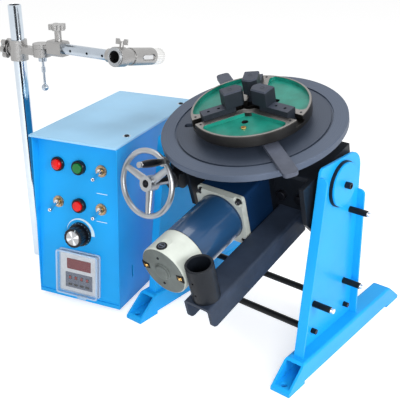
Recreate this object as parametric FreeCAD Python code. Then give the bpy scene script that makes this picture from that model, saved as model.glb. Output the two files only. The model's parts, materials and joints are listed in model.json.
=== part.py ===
"""Tilting welding positioner with its control box and torch stand.

Millimetres, +Z up. X runs along the tilt axis, Y towards the back and the
origin lies on the floor in the middle of the four foot bolt holes.
The tilting parts are drawn in the cradle's own frame, whose origin is on the
tilt axis, and then turned to the stored tilt. The control box is drawn with
its front right lower corner at the origin and then set down beside the frame.
"""
import FreeCAD, Part
import math
import os

os.makedirs("parts", exist_ok=True)

V = FreeCAD.Vector
X_AXIS, Y_AXIS, Z_AXIS = V(1, 0, 0), V(0, 1, 0), V(0, 0, 1)

# ---- frame -----------------------------------------------------------------
RAIL_X = 165.0          # centre of each foot rail from the middle
RAIL_LENGTH = 396.0
RAIL_WIDTH = 36.0
RAIL_HEIGHT = 42.0
RAIL_WALL = 4.0
RAIL_END_SLOPE = 44.0   # how far the top stops short of the bottom plate
RAIL_EDGE_R = 5.0
PAD_HEIGHT = 6.0
PAD_LENGTH = 48.0
FOOT_HOLE_R = 5.5
FOOT_HOLE_INSET = 13.0

UPRIGHT_X = RAIL_X - 9.0        # inner face of each upright
SHEET = 4.0             # sheet thickness of the uprights
FLANGE_WIDTH = 17.0
UPRIGHT_TOP = 361.0
FRONT_Y0 = -150.0       # front edge of the upright where it would meet the floor
FRONT_LEAN = 0.121
BACK_Y0 = 40.6
BACK_LEAN = -0.054
FRONT_FLANGE_TOP = 347.0
BACK_FLANGE_TOP = 288.0
TOP_BACK_R = 34.0
FLANGE_CORNER_R = 9.0

TILT_Y = -39.4          # the tilt axis
TILT_Z = 317.0
TILT_REST = 16.0        # degrees that the table leans forward as stored

ROD_R = 6.0
ROD_FRONT_Y = -98.0
ROD_BACK_Y = 10.0
ROD_Z = 68.0
ROD_BOLT_R = 4.5
ROD_SHANK_R = 3.0
ROD_BOLT_LENGTH = 9.0

STUD_R = 5.5
STUD_TIP_R = 4.0
STUD_LENGTH = 32.0
STUD_TIP = 6.0
STUD_PLACES = [(0.0, 258.0), (0.0, 121.0), (-99.0, 121.0)]

RING_R = 38.5           # bearing ring on the outer face of each upright
RING_THICK = 5.0
CAP_R = 37.0            # disc that holds each trunnion pin
CAP_THICK = 3.5
PIN_R = 16.0            # trunnion pin
PIN_SPIGOT_R = 12.0     # its smaller end, in the cradle's cheek
CAP_BOLT_R = 5.5
CAP_BOLT_LENGTH = 10.0
CAP_SOCKET_R = 3.4      # corners of the hexagon socket
CAP_SOCKET_DEPTH = 6.0

# ---- running fits and gaps ---------------------------------------------------
RUN_FIT = 0.05          # radial clearance of a shaft in its bearing
FREE_GAP = 0.4          # gap between faces that move past each other

# ---- cradle (frame: x, forward and back, up from the tilt axis) -------------
CHEEK_RIGHT_X = UPRIGHT_X - 6.0     # outer face of the right cheek
CASE_OUTER_X = 3.0 - UPRIGHT_X      # the worm wheel's case stands between cheek and upright
CASE_INNER_X = CASE_OUTER_X + 24.0
CHEEK_LEFT_X = CASE_INNER_X + 5.0   # outer face of the left cheek
PLATE = 8.0
CRADLE_TOP = 44.0
CRADLE_BACK = 50.0
CRADLE_FRONT = -62.0
CROSS_Y = -24.0         # front face of the cross plate
CROSS_BOTTOM = -92.0
RIGHT_FRONT = CRADLE_FRONT - 29     # the right cheek reaches further forward
CHEEK_OUTLINE = [(CRADLE_BACK, CRADLE_TOP), (CRADLE_BACK, -10.0), (22.0, -44.0)]
CHEEK_STEP = -24.0      # where the front edge of each cheek starts to run back
RIGHT_TOE, LEFT_TOE = 24.0, 36.0    # how far each cheek's foot stands in front of the cross plate
WINDOW_WALL = 10.0      # plate left round the opening for the bevel gears
WINDOW_BOTTOM = 24.0    # below the motor's axis
BEARING_TUBE_R = 42.0
BEARING_R = 34.0
BEARING_WIDTH = 15.0
BEARING_SPACER = 3.0
BEARING_LIP = 5.0
BEARING_TUBE_TOP = 54.0
SPINDLE_R = 20.0
SPINDLE_BORE_R = 11.0
SPINDLE_SPIGOT_R = 16.0 # end that centres the table
SPINDLE_FLANGE_R = 48.0
SPINDLE_FLANGE_THICK = 9.0

TABLE_R = 157.0
TABLE_TOP = 80.0
TABLE_THICK = 12.0
GROOVE_R = 131.0
GROOVE_WIDTH = 4.0
GROOVE_DEPTH = 2.5
SLOT_WIDTH = 12.0
SLOT_OUTER = 118.0
SLOT_INNER = 60.0
SLOT_ANGLE = 88.5
SLOT_COUNT = 3

# ---- drive ------------------------------------------------------------------
GEARBOX_SIZE = 92.0
MOTOR_Z = 10.0 - GEARBOX_SIZE / 2   # the gearbox's top stays under the cradle's hub
GEARBOX_LENGTH = 68.0
ADAPTER_LENGTH = 15.0
MOTOR_FLANGE_THICK = 12.0
MOTOR_R = 43.0
MOTOR_LENGTH = 102.0
END_CAP_LENGTH = 50.0
DRIVE_MODULE = 2.0
GEAR_TEETH = 30
PINION_TEETH = 15
GEAR_FACE = 9.0
ROOT_HALF, TIP_HALF = 0.23, 0.10    # half a tooth at root and tip, as parts of the pitch
GEAR_BACK, PINION_BACK = 6.0, 3.0
OUTPUT_SHAFT_R = 5.0
OUTPUT_START = 21.0     # from the spindle's axis to the shaft's end
OUTPUT_SEAT = 6.0       # how far the shaft enters the gearbox
GEARBOX_CORNER_R = 5.0
FLANGE_ROUND = 6.0
FLANGE_NOTCH_R = 17.0
FLANGE_NOTCH_DEPTH = 6.0
FLANGE_NOTCH_REACH = 1.06   # of the notch centres, as parts of the half width
FLANGE_OVERHANG = 1.0
END_CAP_EDGE_R = 4.0
END_BOSS_R = 13.0
END_BOSS_HEIGHT = 5.0
BRUSH_BOSS_R = 9.0
BRUSH_PLACE = 22.0      # from the end face

# ---- torch arm --------------------------------------------------------------
ARM_LEFT_X = GEARBOX_SIZE / 2 + 2.0     # the arm passes beside the gearbox
ARM_RIGHT_X = ARM_LEFT_X + 50.0
ARM_TOP = -61.0
ARM_DEPTH = 40.0
ARM_SHEET = 5.0
ARM_FRONT = -286.0
SOCKET_X = ARM_LEFT_X + 26.0
SOCKET_Y = -262.0
SOCKET_R = 22.0
SOCKET_BORE_R = 17.5
SOCKET_HEIGHT = 65.0
SOCKET_SCREW_HEIGHTS = (18.0, 42.0)
SOCKET_SCREW_R = 2.0
ARM_BEND_R = 5.0
ARM_TOE_R = 12.0
ARM_BOLT_X = (ARM_LEFT_X + 11.0, ARM_RIGHT_X - 3.0)
ARM_BOLT_R = 9.0
ARM_BOLT_HEAD = 7.0
ARM_BOLT_RISE = 24.0    # above the top of the arm

# ---- chuck ------------------------------------------------------------------
CHUCK_R = 100.0
CHUCK_TOP = 112.6
CHUCK_BODY_THICK = 20.0
CHUCK_BORE_R = 16.0
CHUCK_HUB_R = 25.0      # the scroll and the lever bar turn on it
CHUCK_EYE_R = 40.0      # round middle of the lever bar
CHUCK_LAND_R = 27.0     # machined land round the bore
CHUCK_RIM = 4.0
SECTOR_DEPTH = 7.0
ARM_HALF = 20.0         # half the width of each machined arm
ARM_FLARE = 9.0         # fillet radius where an arm meets the rim
ARM_ANGLE = -3.9
JAW_SLOT_HALF = 7.5
JAW_SLOT_DEPTH = 12.0
JAW_FOOT = 3.5          # how far the T slot is cut under each side
JAW_FOOT_HEIGHT = 5.0
JAW_GAP = 0.3
JAW_SCREWS = (26.0, 44.0)
JAW_SCREW_R = 2.5
FACE_HOLE_R = 5.5
FACE_HOLE_PLACE = 44.0
FACE_HOLE_ANGLE = -64.0  # of the first hole from the first arm
SCROLL_R = 72.0
LEVER_LENGTH = 366.0
LEVER_WIDTH = 24.0
LEVER_THICK = 7.0
LEVER_CORNER_R = 7.0
LEVER_ANGLE = -36.7
BASE_JAW_LENGTH = 56.0
BASE_JAW_HALF = 10.0
BASE_JAW_HEIGHT = 10.0
TOP_JAW_HALF = 12.5
TOP_JAW_HEIGHT = 27.0
TOP_JAW_LENGTH = 35.0
TOP_JAW_CHAMFER = 2.0
TOP_JAW_FLAT = 2.5      # half the width of the blunt tip
JAW_TIP_R = 10.0

# ---- tilt worm drive ----------------------------------------------------------
WORM_X = (CASE_INNER_X + CASE_OUTER_X) / 2
WORM_SLOPE = 11.0       # degrees that the worm shaft rises towards the handwheel
WORM_DISTANCE = 62.0    # between worm and wheel axes
WORM_WHEEL_R = 50.0
WORM_WHEEL_WIDTH = 14.0
WORM_R = 11.0
WORM_SHAFT_R = 7.0
CASE_WALL = 4.0
WHEEL_RIM_R = 57.5
WHEEL_TUBE_R = 5.0
WHEEL_REACH = 125.0     # hub plane in front of the worm wheel's centre
HUB_R = 14.0
HUB_FRONT, HUB_LENGTH = -4.0, 22.0
SHAFT_RECESS = 6.0      # of the shaft's end inside the hub
SHAFT_END = 39.0        # behind the worm wheel's centre
SPOKE_ANGLE = 40.0
HANDLE_ANGLE = 55.0     # of the handle on the rim
SPOKE_WIDE, SPOKE_THIN = 8.0, 4.5   # half sizes of a spoke at the hub
SPOKE_TAPER = 0.7       # and what is left of them at the rim
HANDLE_PIN_R = 3.5
WORM_HALF = 28.0        # half the length of the worm
BARREL_FRONT, BARREL_BACK = -62.0, 54.0
GRIP_LENGTH = 50.0
GRIP_R = 6.0

# ---- control box ------------------------------------------------------------
BOX_CORNER = V(-RAIL_X - 38.0, -196.0, 0)      # the box stands clear of the left foot rail
BOX_YAW = 15.5
BOX_WIDTH = 182.0
BOX_DEPTH = 345.0
BOX_HEIGHT = 333.0
BOX_SHEET = 2.0
BOX_FRONT_LEAN = 18.0
BOX_FOOT = 8.0
PANEL_BOTTOM = 16.0
PANEL_TOP = 321.0
PANEL_LEAN = 34.0
COVER_DROP = 4.0
COVER_LIP = 6.0         # how far the cover stands out over the panel
PANEL_THICK = 2.0
LAMP_R = 10.0
BUTTON_R = 11.0
KNOB_R = 24.0
KNOB_HEIGHT = 26.0
TOGGLE_LENGTH = 26.0
LAMP_DOME = 3.5
BUTTON_REACH = 12.0     # from the panel to the face of a button
BEZEL_WALL = 3.0
SIDE_SLOT = (55.0, 65.5)    # y and z of the slot in the right side
SIDE_SLOT_HALF = 2.5
SIDE_SLOT_RISE = 13.5
TIMER_WIDTH = 92.0
TIMER_HEIGHT = 90.0
TIMER_COVER_DEPTH = 16.0
TIMER_COVER_WALL = 2.0
TIMER_REAR_INSET = 9.0
TIMER_FACE_INSET = 4.0
BUSH_R = 6.0
BUSH_NUT_R = 11.0
TOGGLE_BALL_R = 4.2
TOGGLE_TIP_R = 3.8
TOGGLE_PIVOT = -5.0     # in front of the panel
TOGGLE_REST = 20.0      # degrees below level
KNOB_SHIFT = 1.0
KNOB_SKIRT = 7.0        # height of the wide foot
KNOB_GRIP_R = 19.0
KNOB_FLUTES = 16
FLUTE_R = 1.6
COLUMNS = (-136.0, -89.0, -42.0)
TOP_ROW, MIDDLE_ROW, KNOB_ROW, TIMER_ROW = 262.0, 188.0, 130.0, 50.0

# ---- torch stand --------------------------------------------------------------
POLE_X, POLE_Y = -520.0, -135.0
POLE_R = 13.0
POLE_BORE_R = 10.5
POLE_HEIGHT = 542.0
CLAMP_Z = 455.0
CLAMP_HEIGHT = 40.0
CLAMP_R = 17.5
TUBE_R = 10.0
TUBE_BORE_R = 7.5
TUBE_LENGTH = 145.0
HEAD_YAW = 8.0          # the head's turn about the pole
SWIVEL_X = 62.0         # from the pole's axis to the upright swivel axis
SWIVEL_R = 17.0
EAR_LOW, EAR_HIGH = -6.0, 10.0     # heights of the ear's disc
SWIVEL_DISC_HIGH = 19.0
TUBE_RISE = 14.5        # of the cross tube above the middle of the collar
SWIVEL_PIN_R = 6.0
TUBE_START = 91.0       # from the pole's axis to the near end of the cross tube
NOSE_LENGTH = 1.0
TEE_X = 107.0           # from the pole's axis to the tee screw
TEE_STEM_R = 6.5
TEE_RISE = 22.0         # of the screw above the block
TEE_HEAD_R, TEE_HEAD_HEIGHT = 17.0, 10.0
TEE_LOBE_R = 5.0
LEVER_ROD_R, LEVER_BALL_R = 2.5, 7.0
LEVER_DROP = 62.0       # from the ear to the middle of the ball
BLOCK_START, BLOCK_END = 87.0, 122.0
STAR_R, STAR_LOBE_R, STAR_THICK = 14.5, 5.5, 11.0
STAR_WASHER_R = 15.0
BLOCK_HALF = 14.0
TORCH_X = 250.0         # from the pole's axis to the torch holder's axis
TORCH_TILT = 10.0       # degrees that the holder falls towards its back end
TORCH_BORE_R = 11.0
TORCH_FRONT = -12.0     # front face, from the cross tube's axis along the holder
TORCH_RIM = (18.0, 12.0)        # radius of each length of the holder and where it ends
TORCH_WAIST = (15.0, 32.0)
TORCH_BODY = (16.5, 100.0)
TORCH_KNOB = (14.5, 128.0)
TORCH_COLLAR_R = 12.5
TORCH_COLLAR = 15.0     # length of the collar on the cross tube
TUBE_END_GAP = 14.0     # from the holder's axis to the cross tube's end
TORCH_WINDOW = (52.0, 92.0)     # of the recess in the holder's side
WING_PLACE = 6.0
WING_REACH = 13.0


# ---- helpers ----------------------------------------------------------------
def box(x0, x1, y0, y1, z0, z1):
    return Part.makeBox(x1 - x0, y1 - y0, z1 - z0, V(x0, y0, z0))


def cylinder(radius, start, axis, length):
    return Part.makeCylinder(radius, length, start, axis)


def tube(outer, inner, start, axis, length):
    return cylinder(outer, start, axis, length).cut(cylinder(inner, start, axis, length))


def prism(points, thickness):
    """Solid from a closed outline, pushed along a vector."""
    wire = Part.makePolygon(list(points) + [points[0]])
    return Part.Face(wire).extrude(thickness)


def round_edges(shape, radius, chosen):
    edges = [e for e in shape.Edges if chosen(e)]
    return shape.makeFillet(radius, edges) if edges else shape


def along(axis):
    """Tells whether an edge is straight and runs along an axis."""
    def test(edge):
        ends = [v.Point for v in edge.Vertexes]
        if len(ends) != 2 or edge.Curve.TypeId != "Part::GeomLine":
            return False
        return (ends[1] - ends[0]).normalize().cross(axis).Length < 1e-6
    return test


def mirrored(shape):
    return shape.mirror(V(0, 0, 0), X_AXIS)


def turned(shape, angle, centre=V(0, 0, 0), axis=Z_AXIS):
    copy = shape.copy()
    copy.rotate(centre, axis, angle)
    return copy


def tilted(shape):
    """From the cradle's frame to the stored tilt."""
    copy = turned(shape, TILT_REST, V(0, 0, 0), X_AXIS)
    copy.translate(V(0, TILT_Y, TILT_Z))
    return copy


def set_down(shape):
    """From the control box's frame to its place beside the positioner."""
    copy = turned(shape, BOX_YAW)
    copy.translate(BOX_CORNER)
    return copy


def save(name, *shapes):
    solids = []
    for shape in shapes:
        solids.extend(shape.Solids)
    result = solids[0] if len(solids) == 1 else Part.makeCompound(solids)
    result.exportStep("parts/%s.step" % name)


def save_tilted(name, *shapes):
    save(name, *[tilted(s) for s in shapes])


def save_box(name, *shapes):
    save(name, *[set_down(s) for s in shapes])


# ---- frame parts --------------------------------------------------------------
def front_y(z):
    return FRONT_Y0 + FRONT_LEAN * z


def back_y(z):
    return BACK_Y0 + BACK_LEAN * z


def foot_rail():
    half, base = RAIL_LENGTH / 2, PAD_HEIGHT
    x0 = RAIL_X - RAIL_WIDTH / 2
    outline = [V(x0, -half, base), V(x0, half, base),
               V(x0, half - RAIL_END_SLOPE, RAIL_HEIGHT), V(x0, RAIL_END_SLOPE - half, RAIL_HEIGHT)]
    rail = prism(outline, V(RAIL_WIDTH, 0, 0))
    rail = round_edges(rail, RAIL_EDGE_R, lambda e: along(Y_AXIS)(e) and e.CenterOfMass.z > RAIL_HEIGHT - 1)
    hollow = box(x0 + RAIL_WALL, x0 + RAIL_WIDTH - RAIL_WALL, -half - 1, half + 1,
                 base + RAIL_WALL, RAIL_HEIGHT - RAIL_WALL)
    rail = rail.cut(hollow)
    for side in (-1, 1):
        y0 = side * half
        y1 = side * (half - PAD_LENGTH)
        rail = rail.fuse(box(x0, x0 + RAIL_WIDTH, min(y0, y1), max(y0, y1), 0, base))
    rail = rail.removeSplitter()
    for side in (-1, 1):
        rail = rail.cut(cylinder(FOOT_HOLE_R, V(RAIL_X, side * (half - FOOT_HOLE_INSET), -1), Z_AXIS, 16))
    return rail


def upright():
    """C section: a web with flanges folded outwards along its two leaning edges."""
    low, top = RAIL_HEIGHT, UPRIGHT_TOP
    outline = [V(UPRIGHT_X, front_y(low), low), V(UPRIGHT_X, back_y(low), low),
               V(UPRIGHT_X, back_y(top), top), V(UPRIGHT_X, front_y(top), top)]
    web = prism(outline, V(SHEET, 0, 0))
    web = round_edges(web, TOP_BACK_R, lambda e: along(X_AXIS)(e) and e.CenterOfMass.z > top - 1
                      and e.CenterOfMass.y > TILT_Y)
    web = round_edges(web, FLANGE_CORNER_R, lambda e: along(X_AXIS)(e) and e.CenterOfMass.z > top - 1
                      and e.CenterOfMass.y < TILT_Y)
    flanges = []
    for edge, height, inward in ((front_y, FRONT_FLANGE_TOP, SHEET), (back_y, BACK_FLANGE_TOP, -SHEET)):
        outline = [V(UPRIGHT_X, edge(low), low), V(UPRIGHT_X, edge(low) + inward, low),
                   V(UPRIGHT_X, edge(height) + inward, height), V(UPRIGHT_X, edge(height), height)]
        flange = prism(outline, V(FLANGE_WIDTH, 0, 0))
        outer = UPRIGHT_X + FLANGE_WIDTH
        flange = round_edges(flange, FLANGE_CORNER_R,
                             lambda e: along(Y_AXIS)(e) and e.CenterOfMass.z > height - 1
                             and e.CenterOfMass.x > outer - 1)
        flanges.append(flange)
    body = web.fuse(flanges).removeSplitter()
    body = body.cut(cylinder(PIN_R + RUN_FIT, V(UPRIGHT_X - 1, TILT_Y, TILT_Z), X_AXIS, SHEET + 2))
    for y, z in STUD_PLACES:
        body = body.cut(cylinder(STUD_TIP_R, V(UPRIGHT_X - 1, y, z), X_AXIS, SHEET + 2))
    for y in (ROD_FRONT_Y, ROD_BACK_Y):
        body = body.cut(cylinder(ROD_SHANK_R, V(UPRIGHT_X - 1, y, ROD_Z), X_AXIS, SHEET + 2))
    return body


def bearing_ring():
    return tube(RING_R, PIN_R + RUN_FIT, V(UPRIGHT_X + SHEET, TILT_Y, TILT_Z), X_AXIS, RING_THICK)


def tie_rod(y):
    return cylinder(ROD_R, V(-UPRIGHT_X, y, ROD_Z), X_AXIS, 2 * UPRIGHT_X)


def tie_rod_bolt(y):
    shank = cylinder(ROD_SHANK_R, V(UPRIGHT_X, y, ROD_Z), X_AXIS, SHEET)
    return shank.fuse(cylinder(ROD_BOLT_R, V(UPRIGHT_X + SHEET, y, ROD_Z), X_AXIS, ROD_BOLT_LENGTH))


def standoff(y, z):
    start = UPRIGHT_X + SHEET
    body = cylinder(STUD_TIP_R, V(UPRIGHT_X, y, z), X_AXIS, SHEET)
    body = body.fuse(cylinder(STUD_R, V(start, y, z), X_AXIS, STUD_LENGTH))
    return body.fuse(cylinder(STUD_TIP_R, V(start + STUD_LENGTH, y, z), X_AXIS, STUD_TIP))


def build_frame():
    rail = foot_rail()
    save("foot_rail_right", rail)
    save("foot_rail_left", mirrored(rail))
    side = upright()
    save("upright_right", side)
    save("upright_left", mirrored(side))
    save("tie_rods", tie_rod(ROD_FRONT_Y), tie_rod(ROD_BACK_Y))
    bolts = [tie_rod_bolt(y) for y in (ROD_FRONT_Y, ROD_BACK_Y)]
    save("tie_rod_bolts", *(bolts + [mirrored(b) for b in bolts]))
    studs = [standoff(y, z) for y, z in STUD_PLACES]
    save("standoffs", *(studs + [mirrored(s) for s in studs]))
    ring = bearing_ring()
    save("bearing_rings", ring, mirrored(ring))


# ---- tilting parts ------------------------------------------------------------
def cheek(x, thickness, front, toe):
    """Side plate of the cradle, with the trunnion's seat near its middle."""
    foot = [(CROSS_Y + PLATE, CROSS_BOTTOM), (CROSS_Y - toe, CROSS_BOTTOM), (front, CHEEK_STEP),
            (front, CRADLE_TOP)]
    outline = [V(x, y, z) for y, z in CHEEK_OUTLINE + foot]
    return prism(outline, V(thickness, 0, 0))


def tilt_cradle():
    top = box(CHEEK_LEFT_X, CHEEK_RIGHT_X, CRADLE_FRONT, CRADLE_BACK, CRADLE_TOP - PLATE, CRADLE_TOP)
    low = MOTOR_Z - WINDOW_BOTTOM
    half = GEARBOX_SIZE / 2 - WINDOW_WALL
    window = box(-half, half, CROSS_Y - 1, CROSS_Y + PLATE + 1, low, CRADLE_TOP - 2 * PLATE)
    cross = box(CHEEK_LEFT_X, CHEEK_RIGHT_X, CROSS_Y, CROSS_Y + PLATE, CROSS_BOTTOM, CRADLE_TOP - PLATE)
    right = cheek(CHEEK_RIGHT_X, -PLATE, RIGHT_FRONT, RIGHT_TOE)
    left = cheek(CHEEK_LEFT_X, PLATE, CRADLE_FRONT, LEFT_TOE)
    stack = 2 * BEARING_WIDTH + BEARING_SPACER
    housing = cylinder(BEARING_TUBE_R, V(0, 0, BEARING_TUBE_TOP - stack - BEARING_SPACER), Z_AXIS,
                       stack + BEARING_SPACER)
    body = top.fuse([cross, right, left, housing])
    body = body.cut(window)
    seat = cylinder(BEARING_R, V(0, 0, BEARING_TUBE_TOP - stack), Z_AXIS, 2 * stack)
    body = body.cut(seat)
    body = body.cut(cylinder(BEARING_R - BEARING_LIP, V(0, 0, 0), Z_AXIS, 2 * stack))
    body = body.cut(box(-BEARING_TUBE_R, BEARING_TUBE_R, CROSS_Y - 1, CROSS_Y + PLATE + 1, low,
                        BEARING_TUBE_TOP - stack - 2 * BEARING_SPACER))
    for x in (CHEEK_RIGHT_X - PLATE - 1, CHEEK_LEFT_X - 1):
        body = body.cut(cylinder(PIN_SPIGOT_R, V(x, 0, 0), X_AXIS, PLATE + 2))
    return body.removeSplitter()


def trunnion_pin():
    """Stepped pin: a shouldered end in the cheek and a journal through the upright."""
    inner = CHEEK_RIGHT_X - PLATE
    outer = UPRIGHT_X + SHEET + RING_THICK + FREE_GAP
    spigot = cylinder(PIN_SPIGOT_R, V(inner, 0, 0), X_AXIS, PLATE)
    return spigot.fuse(cylinder(PIN_R, V(CHEEK_RIGHT_X, 0, 0), X_AXIS, outer - CHEEK_RIGHT_X))


def left_trunnion_pin():
    outer = -(UPRIGHT_X + SHEET + RING_THICK + FREE_GAP)
    spigot = cylinder(PIN_SPIGOT_R, V(CHEEK_LEFT_X, 0, 0), X_AXIS, PLATE)
    return spigot.fuse(cylinder(PIN_R, V(outer, 0, 0), X_AXIS, CHEEK_LEFT_X - outer))


def trunnion_cap():
    start = UPRIGHT_X + SHEET + RING_THICK + FREE_GAP
    disc = cylinder(CAP_R, V(start, 0, 0), X_AXIS, CAP_THICK)
    return disc.makeChamfer(0.8, [e for e in disc.Edges if e.CenterOfMass.x > start + CAP_THICK - 0.1])


def cap_bolt():
    start = UPRIGHT_X + SHEET + RING_THICK + FREE_GAP + CAP_THICK
    head = cylinder(CAP_BOLT_R, V(start, 0, 0), X_AXIS, CAP_BOLT_LENGTH)
    head = head.makeChamfer(0.7, [e for e in head.Edges if e.CenterOfMass.x > start + CAP_BOLT_LENGTH - 0.1])
    return head.cut(hexagon_hole(CAP_SOCKET_R, V(start + CAP_BOLT_LENGTH - CAP_SOCKET_DEPTH, 0, 0),
                                 CAP_SOCKET_DEPTH + 1))


def hexagon_hole(radius, start, length):
    points = [start + V(0, radius * math.cos(math.radians(60 * i)), radius * math.sin(math.radians(60 * i)))
              for i in range(6)]
    return prism(points, V(length, 0, 0))


def turntable():
    disc = cylinder(TABLE_R, V(0, 0, TABLE_TOP - TABLE_THICK), Z_AXIS, TABLE_THICK)
    disc = disc.makeChamfer(1.0, [e for e in disc.Edges if e.Curve.TypeId == "Part::GeomCircle"])
    groove = tube(GROOVE_R + GROOVE_WIDTH / 2, GROOVE_R - GROOVE_WIDTH / 2,
                  V(0, 0, TABLE_TOP - GROOVE_DEPTH), Z_AXIS, GROOVE_DEPTH + 1)
    disc = disc.cut(groove)
    disc = disc.cut(cylinder(SPINDLE_SPIGOT_R, V(0, 0, 0), Z_AXIS, 2 * TABLE_TOP))
    for i in range(SLOT_COUNT):
        half, low, high = SLOT_WIDTH / 2, TABLE_TOP - TABLE_THICK - 1, TABLE_TOP + 1
        slot = box(SLOT_INNER, SLOT_OUTER - half, -half, half, low, high)
        for x in (SLOT_INNER, SLOT_OUTER - half):
            slot = slot.fuse(cylinder(half, V(x, 0, low), Z_AXIS, high - low))
        disc = disc.cut(turned(slot, SLOT_ANGLE + 360 / SLOT_COUNT * i))
    return disc


def spindle():
    low = MOTOR_Z - 4
    under = TABLE_TOP - TABLE_THICK
    body = cylinder(SPINDLE_FLANGE_R, V(0, 0, under - SPINDLE_FLANGE_THICK), Z_AXIS, SPINDLE_FLANGE_THICK)
    body = body.fuse(cylinder(SPINDLE_R, V(0, 0, low), Z_AXIS, under - low - 1))
    body = body.fuse(cylinder(SPINDLE_SPIGOT_R - RUN_FIT, V(0, 0, under - 1), Z_AXIS, TABLE_THICK + 1))
    return body.cut(cylinder(SPINDLE_BORE_R, V(0, 0, low - 1), Z_AXIS, 200))


def spindle_bearing(top):
    return tube(BEARING_R, SPINDLE_R + RUN_FIT, V(0, 0, top - BEARING_WIDTH), Z_AXIS, BEARING_WIDTH)


def bevel_gear(teeth, mate, bore, back):
    """Straight bevel gear about Z with its cone's point at the origin.

    Each tooth is a loft between a large and a small trapezium on one ray.
    """
    pitch_r = DRIVE_MODULE * teeth / 2
    mate_r = DRIVE_MODULE * mate / 2
    cone = math.atan2(pitch_r, mate_r)
    outer = math.hypot(pitch_r, mate_r)
    inner = outer - GEAR_FACE
    add, ded = 0.8 * DRIVE_MODULE, 1.15 * DRIVE_MODULE

    def ring_point(distance, offset):
        r = distance * math.sin(cone) + offset * math.cos(cone)
        z = distance * math.cos(cone) - offset * math.sin(cone)
        return r, z

    def profile(distance):
        scale = distance / outer
        r0, z0 = ring_point(distance, -ded * scale)
        r1, z1 = ring_point(distance, add * scale)
        root, tip = ROOT_HALF * 2 * math.pi / teeth, TIP_HALF * 2 * math.pi / teeth
        corners = [(r0, z0, -root), (r1, z1, -tip), (r1, z1, tip), (r0, z0, root), (r0, z0, -root)]
        return Part.makePolygon([V(r * math.cos(a), r * math.sin(a), z) for r, z, a in corners])

    r_big, z_big = ring_point(outer, -ded * 0.98)
    r_small, z_small = ring_point(inner, -ded * inner / outer * 0.98)
    outline = [V(bore, 0, z_small), V(r_small, 0, z_small), V(r_big, 0, z_big), V(r_big, 0, z_big + back),
               V(bore, 0, z_big + back)]
    blank = Part.Face(Part.makePolygon(outline + [outline[0]])).revolve(V(0, 0, 0), Z_AXIS, 360)
    tooth = Part.makeLoft([profile(outer), profile(inner)], True, True)
    teeth_solids = [turned(tooth, 360.0 * i / teeth) for i in range(teeth)]
    gear = blank.fuse(teeth_solids)
    return gear.removeSplitter()


def drive_gear():
    gear = bevel_gear(GEAR_TEETH, PINION_TEETH, SPINDLE_R, GEAR_BACK)
    gear.translate(V(0, 0, MOTOR_Z))
    return gear


def drive_pinion():
    """Pinion on the gearbox's output shaft, turned so that a tooth meets a space."""
    pinion = bevel_gear(PINION_TEETH, GEAR_TEETH, OUTPUT_SHAFT_R, PINION_BACK)
    pinion = turned(pinion, 90 % (360.0 / PINION_TEETH))
    inner = CROSS_Y - ADAPTER_LENGTH - OUTPUT_SEAT + 1
    pinion = pinion.fuse(cylinder(OUTPUT_SHAFT_R, V(0, 0, OUTPUT_START), Z_AXIS, -inner - OUTPUT_START))
    pinion = turned(pinion, 90, V(0, 0, 0), X_AXIS)
    pinion.translate(V(0, 0, MOTOR_Z))
    return pinion


def gearbox_back():
    return CROSS_Y - ADAPTER_LENGTH


def drive_adapter():
    half = GEARBOX_SIZE / 2
    y0, y1 = gearbox_back(), CROSS_Y
    frame = box(-half, half, y0, y1, MOTOR_Z - half, MOTOR_Z + half)
    frame = round_edges(frame, GEARBOX_CORNER_R, along(Y_AXIS))
    inside = half - WINDOW_WALL
    return frame.cut(box(-inside, inside, y0 - 1, y1 + 1, MOTOR_Z - WINDOW_BOTTOM, MOTOR_Z + inside))


def gearbox():
    half = GEARBOX_SIZE / 2
    y1 = gearbox_back()
    y0 = y1 - GEARBOX_LENGTH
    body = box(-half, half, y0, y1, MOTOR_Z - half, MOTOR_Z + half)
    body = round_edges(body, GEARBOX_CORNER_R, along(Y_AXIS))
    bore = cylinder(OUTPUT_SHAFT_R + RUN_FIT, V(0, y1 - OUTPUT_SEAT, MOTOR_Z), Y_AXIS, OUTPUT_SEAT + 1)
    return body.cut(bore)


def motor_flange():
    """Square flange whose corners are milled back round the four bolts."""
    half = GEARBOX_SIZE / 2 + FLANGE_OVERHANG
    y1 = gearbox_back() - GEARBOX_LENGTH
    y0 = y1 - MOTOR_FLANGE_THICK
    body = box(-half, half, y0, y1, MOTOR_Z - half, MOTOR_Z + half)
    body = round_edges(body, FLANGE_ROUND, along(Y_AXIS))
    for x in (-half, half):
        for z in (-half, half):
            corner = V(x * FLANGE_NOTCH_REACH, y0 - 1, MOTOR_Z + z * FLANGE_NOTCH_REACH)
            body = body.cut(cylinder(FLANGE_NOTCH_R, corner, Y_AXIS, FLANGE_NOTCH_DEPTH + 1))
    return body


def motor_front():
    return gearbox_back() - GEARBOX_LENGTH - MOTOR_FLANGE_THICK


def motor_body():
    y1 = motor_front()
    return cylinder(MOTOR_R, V(0, y1 - MOTOR_LENGTH, MOTOR_Z), Y_AXIS, MOTOR_LENGTH)


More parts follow.
